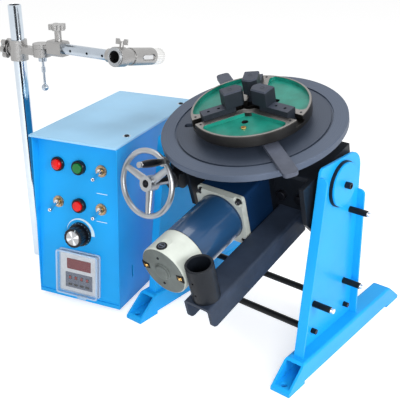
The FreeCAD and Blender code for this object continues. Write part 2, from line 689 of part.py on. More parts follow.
def motor_end_cap():
    y1 = motor_front() - MOTOR_LENGTH
    y0 = y1 - END_CAP_LENGTH
    cap = cylinder(MOTOR_R + 0.5, V(0, y0, MOTOR_Z), Y_AXIS, END_CAP_LENGTH)
    cap = round_edges(cap, END_CAP_EDGE_R, lambda e: e.CenterOfMass.y < y0 + 0.1 and len(e.Vertexes) == 1)
    boss = cylinder(END_BOSS_R, V(0, y0 - END_BOSS_HEIGHT, MOTOR_Z), Y_AXIS, END_BOSS_HEIGHT + 1)
    boss = round_edges(boss, 2.0, lambda e: e.CenterOfMass.y < y0 - END_BOSS_HEIGHT + 0.1)
    cap = cap.fuse(boss)
    for angle in (0, 180):
        lug = cylinder(BRUSH_BOSS_R, V(0, y0 + BRUSH_PLACE, MOTOR_Z + MOTOR_R - 6), Z_AXIS, 6.5)
        cap = cap.fuse(turned(lug, angle, V(0, 0, MOTOR_Z), Y_AXIS))
    return cap


def torch_arm():
    """Inverted channel with rounded bends and rounded lower front corners."""
    low = ARM_TOP - ARM_DEPTH
    arm = box(ARM_LEFT_X, ARM_RIGHT_X, ARM_FRONT, CROSS_Y, low, ARM_TOP)
    arm = round_edges(arm, ARM_BEND_R, lambda e: along(Y_AXIS)(e) and e.CenterOfMass.z > ARM_TOP - 1)
    arm = round_edges(arm, ARM_TOE_R, lambda e: along(X_AXIS)(e) and e.CenterOfMass.z < low + 1
                      and e.CenterOfMass.y < ARM_FRONT + 1)
    inner = box(ARM_LEFT_X + ARM_SHEET, ARM_RIGHT_X - ARM_SHEET, ARM_FRONT - 1, CROSS_Y + 1, low - 1,
                ARM_TOP - ARM_SHEET)
    inner = round_edges(inner, 3.0, lambda e: along(Y_AXIS)(e) and e.CenterOfMass.z > ARM_TOP - ARM_SHEET - 1)
    return arm.cut(inner)


def torch_socket():
    base = V(SOCKET_X, SOCKET_Y, ARM_TOP)
    body = tube(SOCKET_R, SOCKET_BORE_R, base, Z_AXIS, SOCKET_HEIGHT)
    rim = [e for e in body.Edges if e.CenterOfMass.z > ARM_TOP + SOCKET_HEIGHT - 0.1]
    body = body.makeChamfer(0.8, rim)
    for height in SOCKET_SCREW_HEIGHTS:
        start = V(SOCKET_X, SOCKET_Y - SOCKET_R - 1, ARM_TOP + height)
        body = body.cut(cylinder(SOCKET_SCREW_R, start, Y_AXIS, SOCKET_R))
    return body


def arm_bolts():
    bolts = []
    for x in ARM_BOLT_X:
        seat = V(x, CROSS_Y - ARM_BOLT_HEAD, ARM_TOP + ARM_BOLT_RISE)
        head = cylinder(ARM_BOLT_R, seat, Y_AXIS, ARM_BOLT_HEAD)
        bolts.append(round_edges(head, 1.0, lambda e: e.CenterOfMass.y < CROSS_Y - ARM_BOLT_HEAD + 0.1))
    return bolts


def build_tilt():
    save_tilted("tilt_cradle", tilt_cradle())
    save_tilted("trunnion_pins", trunnion_pin(), left_trunnion_pin())
    cap = trunnion_cap()
    save_tilted("trunnion_caps", cap, mirrored(cap))
    bolt = cap_bolt()
    save_tilted("cradle_bolts", bolt, mirrored(bolt), *arm_bolts())
    save_tilted("spindle_bearings", spindle_bearing(BEARING_TUBE_TOP),
                spindle_bearing(BEARING_TUBE_TOP - BEARING_WIDTH - BEARING_SPACER))
    save_tilted("drive_adapter", drive_adapter())
    save_tilted("gearbox", gearbox())
    save_tilted("motor_flange", motor_flange())
    save_tilted("motor_body", motor_body())
    save_tilted("motor_end_cap", motor_end_cap())
    save_tilted("torch_arm", torch_arm())
    save_tilted("torch_socket", torch_socket())
    save_tilted("spindle", spindle())
    save_tilted("turntable", turntable())
    save_tilted("drive_gear", drive_gear())
    save_tilted("drive_pinion", drive_pinion())


# ---- chuck --------------------------------------------------------------------
def chuck_arm(half):
    """Radial arm as long as the chuck, widening into the rim in two hollow curves."""
    edge = CHUCK_R - CHUCK_RIM
    reach = math.sqrt(edge ** 2 - (half + ARM_FLARE) ** 2)
    bar = box(0, CHUCK_R + 5, -half, half, 0, SECTOR_DEPTH + 1)
    flare = box(reach - ARM_FLARE, CHUCK_R + 5, -half - ARM_FLARE, half + ARM_FLARE, 0, SECTOR_DEPTH + 1)
    for side in (-1, 1):
        flare = flare.cut(cylinder(ARM_FLARE, V(reach - ARM_FLARE, side * (half + ARM_FLARE), -1),
                                   Z_AXIS, SECTOR_DEPTH + 3))
    return bar.fuse(flare)


def chuck_body():
    low = CHUCK_TOP - CHUCK_BODY_THICK
    body = cylinder(CHUCK_R, V(0, 0, low), Z_AXIS, CHUCK_BODY_THICK)
    body = body.makeChamfer(1.2, [e for e in body.Edges if e.Curve.TypeId == "Part::GeomCircle"])
    floor = CHUCK_TOP - SECTOR_DEPTH
    recess = cylinder(CHUCK_R - CHUCK_RIM, V(0, 0, floor), Z_AXIS, SECTOR_DEPTH + 1)
    recess = recess.cut(cylinder(CHUCK_LAND_R, V(0, 0, floor - 1), Z_AXIS, SECTOR_DEPTH + 3))
    for i in range(3):
        arm = chuck_arm(ARM_HALF)
        arm.translate(V(0, 0, floor - 0.5))
        recess = recess.cut(turned(arm, ARM_ANGLE + 120 * i))
    body = body.cut(recess)
    for i in range(3):
        start, end, bottom = CHUCK_BORE_R - 2, CHUCK_R + 5, CHUCK_TOP - JAW_SLOT_DEPTH
        wing = JAW_SLOT_HALF + JAW_FOOT
        slot = box(start, end, -JAW_SLOT_HALF, JAW_SLOT_HALF, bottom, CHUCK_TOP + 1)
        wide = box(start, end, -wing, wing, bottom, bottom + JAW_FOOT_HEIGHT)
        body = body.cut(turned(slot.fuse(wide), ARM_ANGLE + 120 * i))
        hole = cylinder(FACE_HOLE_R, V(FACE_HOLE_PLACE, 0, floor - 8), Z_AXIS, CHUCK_BODY_THICK)
        body = body.cut(turned(hole, ARM_ANGLE + FACE_HOLE_ANGLE + 120 * i))
    hub = cylinder(CHUCK_HUB_R, V(0, 0, TABLE_TOP), Z_AXIS, low - TABLE_TOP + 1)
    body = body.fuse(hub)
    return body.cut(cylinder(CHUCK_BORE_R, V(0, 0, TABLE_TOP - 1), Z_AXIS, 60)).removeSplitter()


def scroll_plate():
    low = TABLE_TOP + FREE_GAP
    high = CHUCK_TOP - CHUCK_BODY_THICK - FREE_GAP
    body = tube(SCROLL_R, CHUCK_HUB_R + RUN_FIT, V(0, 0, low + LEVER_THICK), Z_AXIS,
                high - low - LEVER_THICK)
    return body


def lever_bar():
    low = TABLE_TOP + FREE_GAP
    half, side = LEVER_LENGTH / 2, LEVER_WIDTH / 2
    bar = box(-half, half, -side, side, low, low + LEVER_THICK)
    bar = round_edges(bar, LEVER_CORNER_R, along(Z_AXIS))
    eye = cylinder(CHUCK_EYE_R, V(0, 0, low), Z_AXIS, LEVER_THICK)
    bar = bar.fuse(eye)
    bar = bar.cut(cylinder(CHUCK_HUB_R + RUN_FIT, V(0, 0, low - 1), Z_AXIS, LEVER_THICK + 2))
    return turned(bar.removeSplitter(), LEVER_ANGLE)


def base_jaw():
    """Slide in the chuck's T slot with a wider head above the arm."""
    start, end = CHUCK_BORE_R + 12, CHUCK_BORE_R + 12 + BASE_JAW_LENGTH
    side, wing = JAW_SLOT_HALF - JAW_GAP, JAW_SLOT_HALF + JAW_FOOT - JAW_GAP
    bottom = CHUCK_TOP - JAW_SLOT_DEPTH + JAW_GAP
    deck = CHUCK_TOP + JAW_GAP
    tongue = box(start, end, -side, side, bottom, deck)
    foot = box(start, end, -wing, wing, bottom, bottom + JAW_FOOT_HEIGHT - 2 * JAW_GAP)
    head = box(start, end, -BASE_JAW_HALF, BASE_JAW_HALF, deck, deck + BASE_JAW_HEIGHT)
    body = tongue.fuse([foot, head]).removeSplitter()
    for x in JAW_SCREWS:
        body = body.cut(cylinder(JAW_SCREW_R, V(start + x, 0, CHUCK_TOP - 2), Z_AXIS, 20))
    return body


def top_jaw():
    """Block with a blunt V tip, chamfered along the top, bolted to the base jaw."""
    low = CHUCK_TOP + JAW_GAP + BASE_JAW_HEIGHT
    tip, half, flat, end = JAW_TIP_R, TOP_JAW_HALF, TOP_JAW_FLAT, JAW_TIP_R + TOP_JAW_LENGTH
    shoulder = tip + (half - flat) * 0.6
    outline = [V(tip, -flat, low), V(shoulder, -half, low), V(end, -half, low),
               V(end, half, low), V(shoulder, half, low), V(tip, flat, low)]
    body = prism(outline, V(0, 0, TOP_JAW_HEIGHT))
    top = low + TOP_JAW_HEIGHT
    return body.makeChamfer(TOP_JAW_CHAMFER, [e for e in body.Edges if e.CenterOfMass.z > top - 0.1])


def build_chuck():
    save_tilted("chuck_body", chuck_body())
    save_tilted("scroll_plate", scroll_plate())
    save_tilted("lever_bar", lever_bar())
    for i in range(3):
        angle = ARM_ANGLE + 120 * i
        save_tilted("base_jaw_%d" % (i + 1), turned(base_jaw(), angle))
        save_tilted("top_jaw_%d" % (i + 1), turned(top_jaw(), angle))


# ---- tilt drive -----------------------------------------------------------------
def worm_frame(shape):
    """From a frame whose Y axis is the worm shaft to the worm's place."""
    copy = turned(shape, -WORM_SLOPE, V(0, 0, 0), X_AXIS)
    copy.translate(V(WORM_X, TILT_Y, TILT_Z))
    return copy


def gear_case():
    """Round wheel case with the worm barrel beside it, split for the moving parts inside."""
    width = CASE_INNER_X - CASE_OUTER_X
    r = WORM_WHEEL_R + CASE_WALL + 2
    centre = V(-width / 2, 0, 0)
    drum = cylinder(r, centre, X_AXIS, width)
    drum = round_edges(drum, 3.0, lambda e: e.Curve.TypeId == "Part::GeomCircle" and e.CenterOfMass.x > 0)
    barrel_r = WORM_R + CASE_WALL
    barrel = cylinder(barrel_r, V(0, BARREL_FRONT, -WORM_DISTANCE), Y_AXIS, BARREL_BACK - BARREL_FRONT)
    mount = box(-width / 2 - 3, -width / 2 + 5, -50, 50, -WORM_DISTANCE - 20, 10)
    plug = cylinder(14, V(0, -44, -WORM_DISTANCE), X_AXIS, width / 2 + 4)
    body = drum.fuse([barrel, mount, plug])
    cavity = cylinder(WORM_WHEEL_R + 1.5, V(-WORM_WHEEL_WIDTH / 2 - 1, 0, 0), X_AXIS, WORM_WHEEL_WIDTH + 2)
    body = body.cut(cavity)
    body = body.cut(cylinder(WORM_R + 0.6, V(0, -WORM_HALF - 2, -WORM_DISTANCE), Y_AXIS, 2 * WORM_HALF + 4))
    body = body.cut(cylinder(WORM_SHAFT_R + RUN_FIT, V(0, -70, -WORM_DISTANCE), Y_AXIS, 110))
    body = body.cut(cylinder(PIN_R + RUN_FIT, V(-width, 0, 0), X_AXIS, 2 * width))
    return worm_frame(body.removeSplitter())


def worm_wheel():
    disc = tube(WORM_WHEEL_R, PIN_R, V(-WORM_WHEEL_WIDTH / 2, 0, 0), X_AXIS, WORM_WHEEL_WIDTH)
    disc.translate(V(WORM_X, TILT_Y, TILT_Z))
    return disc


def worm_shaft():
    worm = cylinder(WORM_R, V(0, -WORM_HALF, -WORM_DISTANCE), Y_AXIS, 2 * WORM_HALF)
    start = SHAFT_RECESS + HUB_FRONT - WHEEL_REACH
    shaft = cylinder(WORM_SHAFT_R, V(0, start, -WORM_DISTANCE), Y_AXIS, SHAFT_END - start)
    return worm_frame(worm.fuse(shaft))


def handle_direction():
    return V(math.cos(math.radians(HANDLE_ANGLE)), 0, math.sin(math.radians(HANDLE_ANGLE)))


def spoke():
    """Oval bar along X that narrows and comes forward from the hub to the rim."""
    sections = []
    start, middle = HUB_R - 5, WHEEL_RIM_R * 0.6
    for x, y, scale in ((start, 6.0, 1.0), (middle, 3.0, 0.85), (WHEEL_RIM_R, 0.0, SPOKE_TAPER)):
        oval = Part.Ellipse(V(x, y, 0), SPOKE_WIDE * scale, SPOKE_THIN * scale).toShape()
        oval.rotate(V(x, y, 0), Y_AXIS, 90)
        sections.append(Part.Wire(oval))
    return Part.makeLoft(sections, True)


def handwheel():
    """Three dished spokes from the hub to a round rim, with a boss for the handle."""
    centre = V(0, -WHEEL_REACH, -WORM_DISTANCE)
    rim = Part.makeTorus(WHEEL_RIM_R, WHEEL_TUBE_R, centre, Y_AXIS)
    hub = cylinder(HUB_R, centre + V(0, HUB_FRONT, 0), Y_AXIS, HUB_LENGTH)
    body = rim
    for i in range(3):
        arm = turned(spoke(), -(SPOKE_ANGLE + 120 * i), V(0, 0, 0), Y_AXIS)
        arm.translate(centre)
        body = body.fuse(arm)
    body = body.fuse(hub)
    body = body.cut(cylinder(WORM_SHAFT_R, centre + V(0, -20, 0), Y_AXIS, 60))
    out = handle_direction()
    boss = cylinder(8.0, centre + out * WHEEL_RIM_R + V(0, -6, 0), Y_AXIS, 12)
    tip = centre + out * WHEEL_RIM_R + V(0, -12 - GRIP_LENGTH, 0)
    pin = cylinder(HANDLE_PIN_R, tip, Y_AXIS, GRIP_LENGTH + 7)
    end = cylinder(GRIP_R - 1, tip, Y_AXIS, 4)
    return worm_frame(body.fuse([boss, pin, end]).removeSplitter())


def handle_grip():
    out = handle_direction()
    centre = V(0, -WHEEL_REACH, -WORM_DISTANCE) + out * WHEEL_RIM_R
    y0 = -7.0 - GRIP_LENGTH
    bore, end = HANDLE_PIN_R + RUN_FIT, y0 + GRIP_LENGTH
    widest = V(GRIP_R + 0.8, y0 + 0.4 * GRIP_LENGTH, 0)
    belly = Part.Arc(V(GRIP_R - 1, y0, 0), widest, V(GRIP_R - 1.2, end, 0))
    wire = Part.Wire([Part.makeLine(V(bore, y0, 0), V(GRIP_R - 1, y0, 0)), belly.toShape(),
                      Part.makeLine(V(GRIP_R - 1.2, end, 0), V(bore, end, 0)),
                      Part.makeLine(V(bore, end, 0), V(bore, y0, 0))])
    grip = Part.Face(wire).revolve(V(0, 0, 0), Y_AXIS, 360)
    grip.translate(centre)
    return worm_frame(grip)


def build_tilt_drive():
    save("gear_case", gear_case())
    save("worm_wheel", worm_wheel())
    save("worm_shaft", worm_shaft())
    save("handwheel", handwheel())
    save("handle_grip", handle_grip())


# ---- control box ------------------------------------------------------------------
def box_front(z):
    return BOX_FRONT_LEAN * z / BOX_HEIGHT


def panel_angle():
    return math.degrees(math.atan2(PANEL_LEAN, PANEL_TOP - PANEL_BOTTOM))


def on_panel(shape):
    """From a flat frame (x across, y into the box, z up the panel) to the leaning panel."""
    copy = turned(shape, -panel_angle(), V(0, 0, 0), X_AXIS)
    copy.translate(V(0, BOX_SHEET, PANEL_BOTTOM))
    return copy


def box_shell():
    """Base and sides folded from one sheet, with the back closed."""
    w, d, h, t = BOX_WIDTH, BOX_DEPTH, BOX_HEIGHT - BOX_SHEET, BOX_SHEET
    side = [V(0, 0, BOX_FOOT), V(0, d, BOX_FOOT), V(0, d, h), V(0, box_front(h), h)]
    right = prism(side, V(-t, 0, 0))
    left = right.copy()
    left.translate(V(t - w, 0, 0))
    base = box(-w, 0, 0, d, BOX_FOOT, BOX_FOOT + t)
    back = box(-w, 0, d - t, d, BOX_FOOT, h)
    lip = box(-w + t, -t, 0, t, BOX_FOOT, PANEL_BOTTOM)
    shell = right.fuse([left, base, back, lip]).removeSplitter()
    y, z = SIDE_SLOT
    slot = box(-t - 1, 1, y - SIDE_SLOT_HALF, y + SIDE_SLOT_HALF, z - SIDE_SLOT_RISE, z + SIDE_SLOT_RISE)
    slot = round_edges(slot, SIDE_SLOT_HALF * 0.99, along(X_AXIS))
    return shell.cut(slot)


def box_cover():
    w, d, t = BOX_WIDTH, BOX_DEPTH, BOX_SHEET
    y0 = box_front(BOX_HEIGHT) - COVER_LIP
    top = box(-w - t, t, y0, d + t, BOX_HEIGHT - t, BOX_HEIGHT)
    top = round_edges(top, 1.9, lambda e: along(Y_AXIS)(e) and e.CenterOfMass.z > BOX_HEIGHT - 0.1)
    sides = [box(x, x + t, y0, d + t, BOX_HEIGHT - COVER_DROP, BOX_HEIGHT - t) for x in (-w - t, 0)]
    front = box(-w - t, t, y0, y0 + t, BOX_HEIGHT - COVER_DROP, BOX_HEIGHT - t)
    back = box(-w - t, t, d, d + t, BOX_HEIGHT - COVER_DROP, BOX_HEIGHT - t)
    return top.fuse(sides + [front, back]).removeSplitter()


def panel_height():
    return math.hypot(PANEL_LEAN, PANEL_TOP - PANEL_BOTTOM)


def front_panel():
    t = BOX_SHEET
    plate = box(t - BOX_WIDTH, -t, 0, PANEL_THICK, 0, panel_height() + 8)
    holes = [(COLUMNS[0], TOP_ROW, LAMP_R - 2), (COLUMNS[1], TOP_ROW, BUTTON_R - 1),
             (COLUMNS[1], MIDDLE_ROW, BUTTON_R - 1), (COLUMNS[2], TOP_ROW, BUSH_R),
             (COLUMNS[2], MIDDLE_ROW, BUSH_R), (COLUMNS[0], MIDDLE_ROW, BUSH_R),
             (COLUMNS[1] + KNOB_SHIFT, KNOB_ROW, 4)]
    for x, z, r in holes:
        plate = plate.cut(cylinder(r, V(x, -1, z), Y_AXIS, PANEL_THICK + 2))
    w, h = TIMER_WIDTH - 2 * TIMER_REAR_INSET + 2, TIMER_HEIGHT - 2 * TIMER_REAR_INSET + 2
    x, z = COLUMNS[1], TIMER_ROW
    cut = box(x - w / 2, x + w / 2, -1, PANEL_THICK + 1, z - h / 2, z + h / 2)
    return on_panel(plate.cut(cut))


def panel_button(x, z):
    button = cylinder(BUTTON_R - 1 - FREE_GAP, V(x, -BUTTON_REACH, z), Y_AXIS, BUTTON_REACH + 10)
    front = [e for e in button.Edges if e.CenterOfMass.y < 0.1 - BUTTON_REACH]
    return on_panel(button.makeChamfer(1.0, front))


def button_bezel(x, z, inner):
    body = tube(inner + BEZEL_WALL, inner, V(x, -4, z), Y_AXIS, 4)
    return on_panel(body)


def pilot_lamp():
    """Domed lens on a round body."""
    x, z = COLUMNS[0], TOP_ROW
    crown = BUTTON_REACH - 3.0
    dome_r = (LAMP_R ** 2 + LAMP_DOME ** 2) / (2 * LAMP_DOME)
    half = LAMP_R / 2
    between = V(half, -crown - LAMP_DOME + dome_r - math.sqrt(dome_r ** 2 - half ** 2), 0)
    arc = Part.Arc(V(LAMP_R, -crown, 0), between, V(0, -crown - LAMP_DOME, 0)).toShape()
    wire = Part.Wire([Part.makeLine(V(0, 12, 0), V(LAMP_R - 2, 12, 0)),
                      Part.makeLine(V(LAMP_R - 2, 12, 0), V(LAMP_R - 2, -0.5, 0)),
                      Part.makeLine(V(LAMP_R - 2, -0.5, 0), V(LAMP_R, -0.5, 0)),
                      Part.makeLine(V(LAMP_R, -0.5, 0), V(LAMP_R, -crown, 0)), arc,
                      Part.makeLine(V(0, -crown - LAMP_DOME, 0), V(0, 12, 0))])
    lens = Part.Face(wire).revolve(V(0, 0, 0), Y_AXIS, 360)
    lens.translate(V(x, 0, z))
    return on_panel(lens)


def toggle(x, z):
    """Bat lever on a ball that turns about X inside its threaded bush."""
    pivot = V(x, TOGGLE_PIVOT, z)
    ball, tip, reach = TOGGLE_BALL_R, TOGGLE_TIP_R, TOGGLE_LENGTH
    neck = ball / 2
    seat = math.sqrt(ball ** 2 - neck ** 2)
    inside = Part.Arc(V(0, ball, 0), V(ball, 0, 0), V(neck, -seat, 0)).toShape()
    outside = Part.Arc(V(tip, -reach, 0), V(tip * math.sqrt(0.5), -reach - tip * math.sqrt(0.5), 0),
                       V(0, -reach - tip, 0)).toShape()
    wire = Part.Wire([inside, Part.makeLine(V(neck, -seat, 0), V(tip, -reach, 0)), outside,
                      Part.makeLine(V(0, -reach - tip, 0), V(0, ball, 0))])
    body = Part.Face(wire).revolve(V(0, 0, 0), Y_AXIS, 360)
    body.translate(pivot)
    return on_panel(turned(body, TOGGLE_REST, pivot, X_AXIS))


def toggle_bush(x, z):
    outer = cylinder(BUSH_R, V(x, -8, z), Y_AXIS, 22)
    nut = cylinder(BUSH_NUT_R, V(x, -3, z), Y_AXIS, 3)
    body = outer.fuse(nut).cut(cylinder(TOGGLE_BALL_R + 0.6, V(x, -9, z), Y_AXIS, 12))
    return on_panel(body.removeSplitter())


def speed_knob():
    x, z = COLUMNS[1] + KNOB_SHIFT, KNOB_ROW
    skirt = Part.makeCone(KNOB_R, KNOB_R - 1.5, KNOB_SKIRT, V(x, -1, z), V(0, -1, 0))
    grip = cylinder(KNOB_GRIP_R, V(x, -1 - KNOB_HEIGHT, z), Y_AXIS, KNOB_HEIGHT)
    shaft = cylinder(3, V(x, -2, z), Y_AXIS, 18)
    body = skirt.fuse([grip, shaft])
    for i in range(KNOB_FLUTES):
        angle = 2 * math.pi * i / KNOB_FLUTES
        r = KNOB_GRIP_R + FLUTE_R / 2
        start = V(x + r * math.cos(angle), -1.5 - KNOB_HEIGHT, z + r * math.sin(angle))
        body = body.cut(cylinder(FLUTE_R, start, Y_AXIS, KNOB_HEIGHT - KNOB_SKIRT))
    return on_panel(body)


def timer_body():
    x, z = COLUMNS[1], TIMER_ROW
    w, h = TIMER_WIDTH / 2, TIMER_HEIGHT / 2
    a, b = TIMER_REAR_INSET, TIMER_FACE_INSET
    rear = box(x - w + a, x + w - a, -3, 60, z - h + a, z + h - a)
    face = box(x - w + b, x + w - b, -5, 0, z - h + b, z + h - b)
    return on_panel(rear.fuse(face).removeSplitter())


def timer_cover():
    x, z = COLUMNS[1], TIMER_ROW
    w, h = TIMER_WIDTH / 2, TIMER_HEIGHT / 2
    depth, t = TIMER_COVER_DEPTH, TIMER_COVER_WALL
    outer = box(x - w, x + w, -depth, -FREE_GAP / 2, z - h, z + h)
    outer = round_edges(outer, 4.0, along(Y_AXIS))
    inner = box(x - w + t, x + w - t, t - depth, 1, z - h + t, z + h - t)
    return on_panel(outer.cut(inner))


def box_feet():
    feet = []
    for x in (-20, 20 - BOX_WIDTH):
        for y in (24, BOX_DEPTH - 24):
            feet.append(Part.makeCone(8, 10, BOX_FOOT, V(x, y, 0), Z_AXIS))
    return feet


def build_box():
    save_box("box_shell", box_shell())
    save_box("box_cover", box_cover())
    save_box("front_panel", front_panel())
    save_box("box_feet", *box_feet())
    save_box("pilot_lamp", pilot_lamp())
    save_box("green_button", panel_button(COLUMNS[1], TOP_ROW))
    save_box("red_button", panel_button(COLUMNS[1], MIDDLE_ROW))
    places = [(COLUMNS[2], TOP_ROW), (COLUMNS[0], MIDDLE_ROW), (COLUMNS[2], MIDDLE_ROW)]
    for i, (x, z) in enumerate(places):
        save_box("toggle_%d" % (i + 1), toggle(x, z))
    bushes = [toggle_bush(x, z) for x, z in places]
    bushes += [button_bezel(COLUMNS[1], row, BUTTON_R - 1) for row in (TOP_ROW, MIDDLE_ROW)]
    save_box("panel_bushes", *bushes)
    save_box("speed_knob", speed_knob())
    save_box("timer_body", timer_body())
    save_box("timer_cover", timer_cover())


# ---- torch stand --------------------------------------------------------------------
def at_clamp(dx, dy=0.0, dz=0.0):
    return V(POLE_X + dx, POLE_Y + dy, CLAMP_Z + dz)


def at_tube(dx, dy=0.0, dz=0.0):
    return at_clamp(dx, dy, dz + TUBE_RISE)


def stand_pole():
    return tube(POLE_R, POLE_BORE_R, V(POLE_X, POLE_Y, 0), Z_AXIS, POLE_HEIGHT)


def pole_clamp():
    """Split collar round the pole with an ear that ends in the swivel's lower disc."""
    body = cylinder(CLAMP_R, at_clamp(0, 0, -CLAMP_HEIGHT / 2), Z_AXIS, CLAMP_HEIGHT)
    ear = cylinder(SWIVEL_R, at_clamp(SWIVEL_X, 0, EAR_LOW), Z_AXIS, EAR_HIGH - EAR_LOW)
    arm = box(POLE_X, POLE_X + SWIVEL_X, POLE_Y - 9, POLE_Y + 9,
              CLAMP_Z + EAR_LOW + 1, CLAMP_Z + EAR_HIGH - 1)
    nose = cylinder(STAR_WASHER_R - 3, at_clamp(-CLAMP_R - NOSE_LENGTH), X_AXIS, 14)
    body = body.fuse([ear, arm, nose])
    body = body.cut(cylinder(POLE_R + RUN_FIT, at_clamp(0, 0, -60), Z_AXIS, 120))
    bore = cylinder(SWIVEL_PIN_R + RUN_FIT, at_clamp(SWIVEL_X, 0, EAR_LOW - 1), Z_AXIS, 30)
    return body.cut(bore).removeSplitter()


def clamp_knob():
    """Lobed hand knob with a washer plate on the left of the collar."""
    start = -CLAMP_R - NOSE_LENGTH - FREE_GAP
    back = start - 5 - STAR_THICK
    washer = cylinder(STAR_WASHER_R, at_clamp(start - 2), X_AXIS, 2)
    neck = cylinder(6, at_clamp(start - 6), X_AXIS, 5)
    body = cylinder(STAR_R, at_clamp(back), X_AXIS, STAR_THICK)
    for i in range(6):
        angle = math.radians(60 * i)
        y, z = STAR_R * math.cos(angle), STAR_R * math.sin(angle)
        body = body.fuse(cylinder(STAR_LOBE_R, at_clamp(back, y, z), X_AXIS, STAR_THICK))
    return body.fuse([washer, neck]).removeSplitter()


def swivel_block():
    """Upper swivel disc, with its pin through the ear, and the block that holds the cross tube."""
    low = EAR_HIGH + FREE_GAP
    disc = cylinder(SWIVEL_R, at_clamp(SWIVEL_X, 0, low), Z_AXIS, SWIVEL_DISC_HIGH - low)
    pin = cylinder(SWIVEL_PIN_R, at_clamp(SWIVEL_X, 0, EAR_LOW - 2), Z_AXIS, low - EAR_LOW + 4)
    bridge = box(POLE_X + SWIVEL_X, POLE_X + BLOCK_START + 2, POLE_Y - 9, POLE_Y + 9,
                 CLAMP_Z + low + 1, CLAMP_Z + SWIVEL_DISC_HIGH - 1)
    middle = CLAMP_Z + TUBE_RISE
    block = box(POLE_X + BLOCK_START, POLE_X + BLOCK_END, POLE_Y - BLOCK_HALF, POLE_Y + BLOCK_HALF,
                middle - BLOCK_HALF, middle + BLOCK_HALF)
    block = block.makeChamfer(4.0, [e for e in block.Edges if abs(e.tangentAt(0).x) > 0.9])
    body = block.fuse([disc, pin, bridge])
    seat = cylinder(TUBE_R + RUN_FIT, at_tube(TUBE_START - FREE_GAP), X_AXIS, BLOCK_END)
    screw = cylinder(TEE_STEM_R + RUN_FIT, at_tube(TEE_X, 0, TUBE_R - 1), Z_AXIS, BLOCK_HALF)
    return body.cut(seat.fuse(screw)).removeSplitter()


def tee_knob():
    """Clamping screw in the block with a lobed head."""
    stem = cylinder(TEE_STEM_R, at_tube(TEE_X, 0, TUBE_R + FREE_GAP), Z_AXIS,
                    BLOCK_HALF - TUBE_R + TEE_RISE)
    low = BLOCK_HALF + TEE_RISE - 1
    reach = TEE_HEAD_R - TEE_LOBE_R
    head = cylinder(reach, at_tube(TEE_X, 0, low), Z_AXIS, TEE_HEAD_HEIGHT)
    for i in range(5):
        angle = math.radians(72 * i)
        place = at_tube(TEE_X + reach * math.cos(angle), reach * math.sin(angle), low)
        head = head.fuse(cylinder(TEE_LOBE_R, place, Z_AXIS, TEE_HEAD_HEIGHT))
    return stem.fuse(head).removeSplitter()


def cross_tube():
    body = tube(TUBE_R, TUBE_BORE_R, at_tube(TUBE_START), X_AXIS, TUBE_LENGTH)
    for dx in (52, 92, 128):
        body = body.cut(cylinder(2.5, at_tube(TUBE_START + dx, -20), Y_AXIS, 20))
    return body


def torch_clamp():
    """Hollow holder across the end of the cross tube, with its collar, wing screw and end knob."""
    profile = [V(0, TORCH_FRONT, 0)]
    start = TORCH_FRONT
    for radius, end in (TORCH_RIM, TORCH_WAIST, TORCH_BODY, TORCH_KNOB):
        profile += [V(radius, start, 0), V(radius, end, 0)]
        start = end
    profile += [V(0, start, 0)]
    holder = Part.Face(Part.makePolygon(profile + profile[:1])).revolve(V(0, 0, 0), Y_AXIS, 360)
    low, high = TORCH_WINDOW
    side = TORCH_BODY[0]
    window = box(side - 3, side + 1, low, high, -6, 6)
    holder = holder.cut(round_edges(window, 5.0, along(X_AXIS)))
    stem = cylinder(4, V(0, WING_PLACE, TORCH_BORE_R + 3), Z_AXIS, 12)
    wings = box(-WING_REACH, WING_REACH, WING_PLACE - 1.5, WING_PLACE + 1.5,
                TORCH_RIM[0] + 4, TORCH_RIM[0] + 14)
    notch = cylinder(6, V(0, WING_PLACE - 3, TORCH_RIM[0] + 15), Y_AXIS, 6)
    holder = holder.fuse([stem, wings.cut(notch)])
    bore = cylinder(TORCH_BORE_R, V(0, TORCH_FRONT - 1, 0), Y_AXIS, start - TORCH_FRONT + 2)
    for shape in (holder, bore):
        shape.rotate(V(0, 0, 0), X_AXIS, -TORCH_TILT)
        shape.translate(at_tube(TORCH_X))
    collar_start = TORCH_X - TUBE_END_GAP - TORCH_COLLAR + 5
    collar = cylinder(TORCH_COLLAR_R, at_tube(collar_start), X_AXIS, TORCH_COLLAR)
    seat = cylinder(TUBE_R + RUN_FIT, at_tube(TORCH_X - TUBE_END_GAP - 40), X_AXIS, 40 + FREE_GAP)
    return holder.fuse(collar).cut([seat, bore]).removeSplitter()


def lock_lever():
    """Ball lever that hangs from the swivel pin under the ear."""
    top = EAR_LOW - 2 - FREE_GAP
    boss = cylinder(SWIVEL_PIN_R + 2, at_clamp(SWIVEL_X, 0, top - 7), Z_AXIS, 7)
    rod = cylinder(LEVER_ROD_R, at_clamp(SWIVEL_X, 0, EAR_LOW - LEVER_DROP), Z_AXIS, LEVER_DROP - 8)
    sleeve = cylinder(LEVER_ROD_R + 1.5, at_clamp(SWIVEL_X, 0, EAR_LOW - LEVER_DROP / 2), Z_AXIS, 10)
    ball = Part.makeSphere(LEVER_BALL_R, at_clamp(SWIVEL_X, 0, EAR_LOW - LEVER_DROP))
    return boss.fuse([rod, sleeve, ball]).removeSplitter()


def save_head(name, shape):
    save(name, turned(shape, HEAD_YAW, V(POLE_X, POLE_Y, 0)))


def build_stand():
    save("stand_pole", stand_pole())
    save_head("pole_clamp", pole_clamp())
    save_head("clamp_knob", clamp_knob())
    save_head("swivel_block", swivel_block())
    save_head("tee_knob", tee_knob())
    save_head("cross_tube", cross_tube())
    save_head("torch_clamp", torch_clamp())
    save_head("lock_lever", lock_lever())


build_frame()
build_tilt()
build_chuck()
build_tilt_drive()
build_box()
build_stand()
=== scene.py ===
"""Looks of the tilting welding positioner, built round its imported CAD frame.

Metres, +Z up, in the frame's own coordinates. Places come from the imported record's joints
and from the boxes of the frame's nodes.
"""

import json
import math

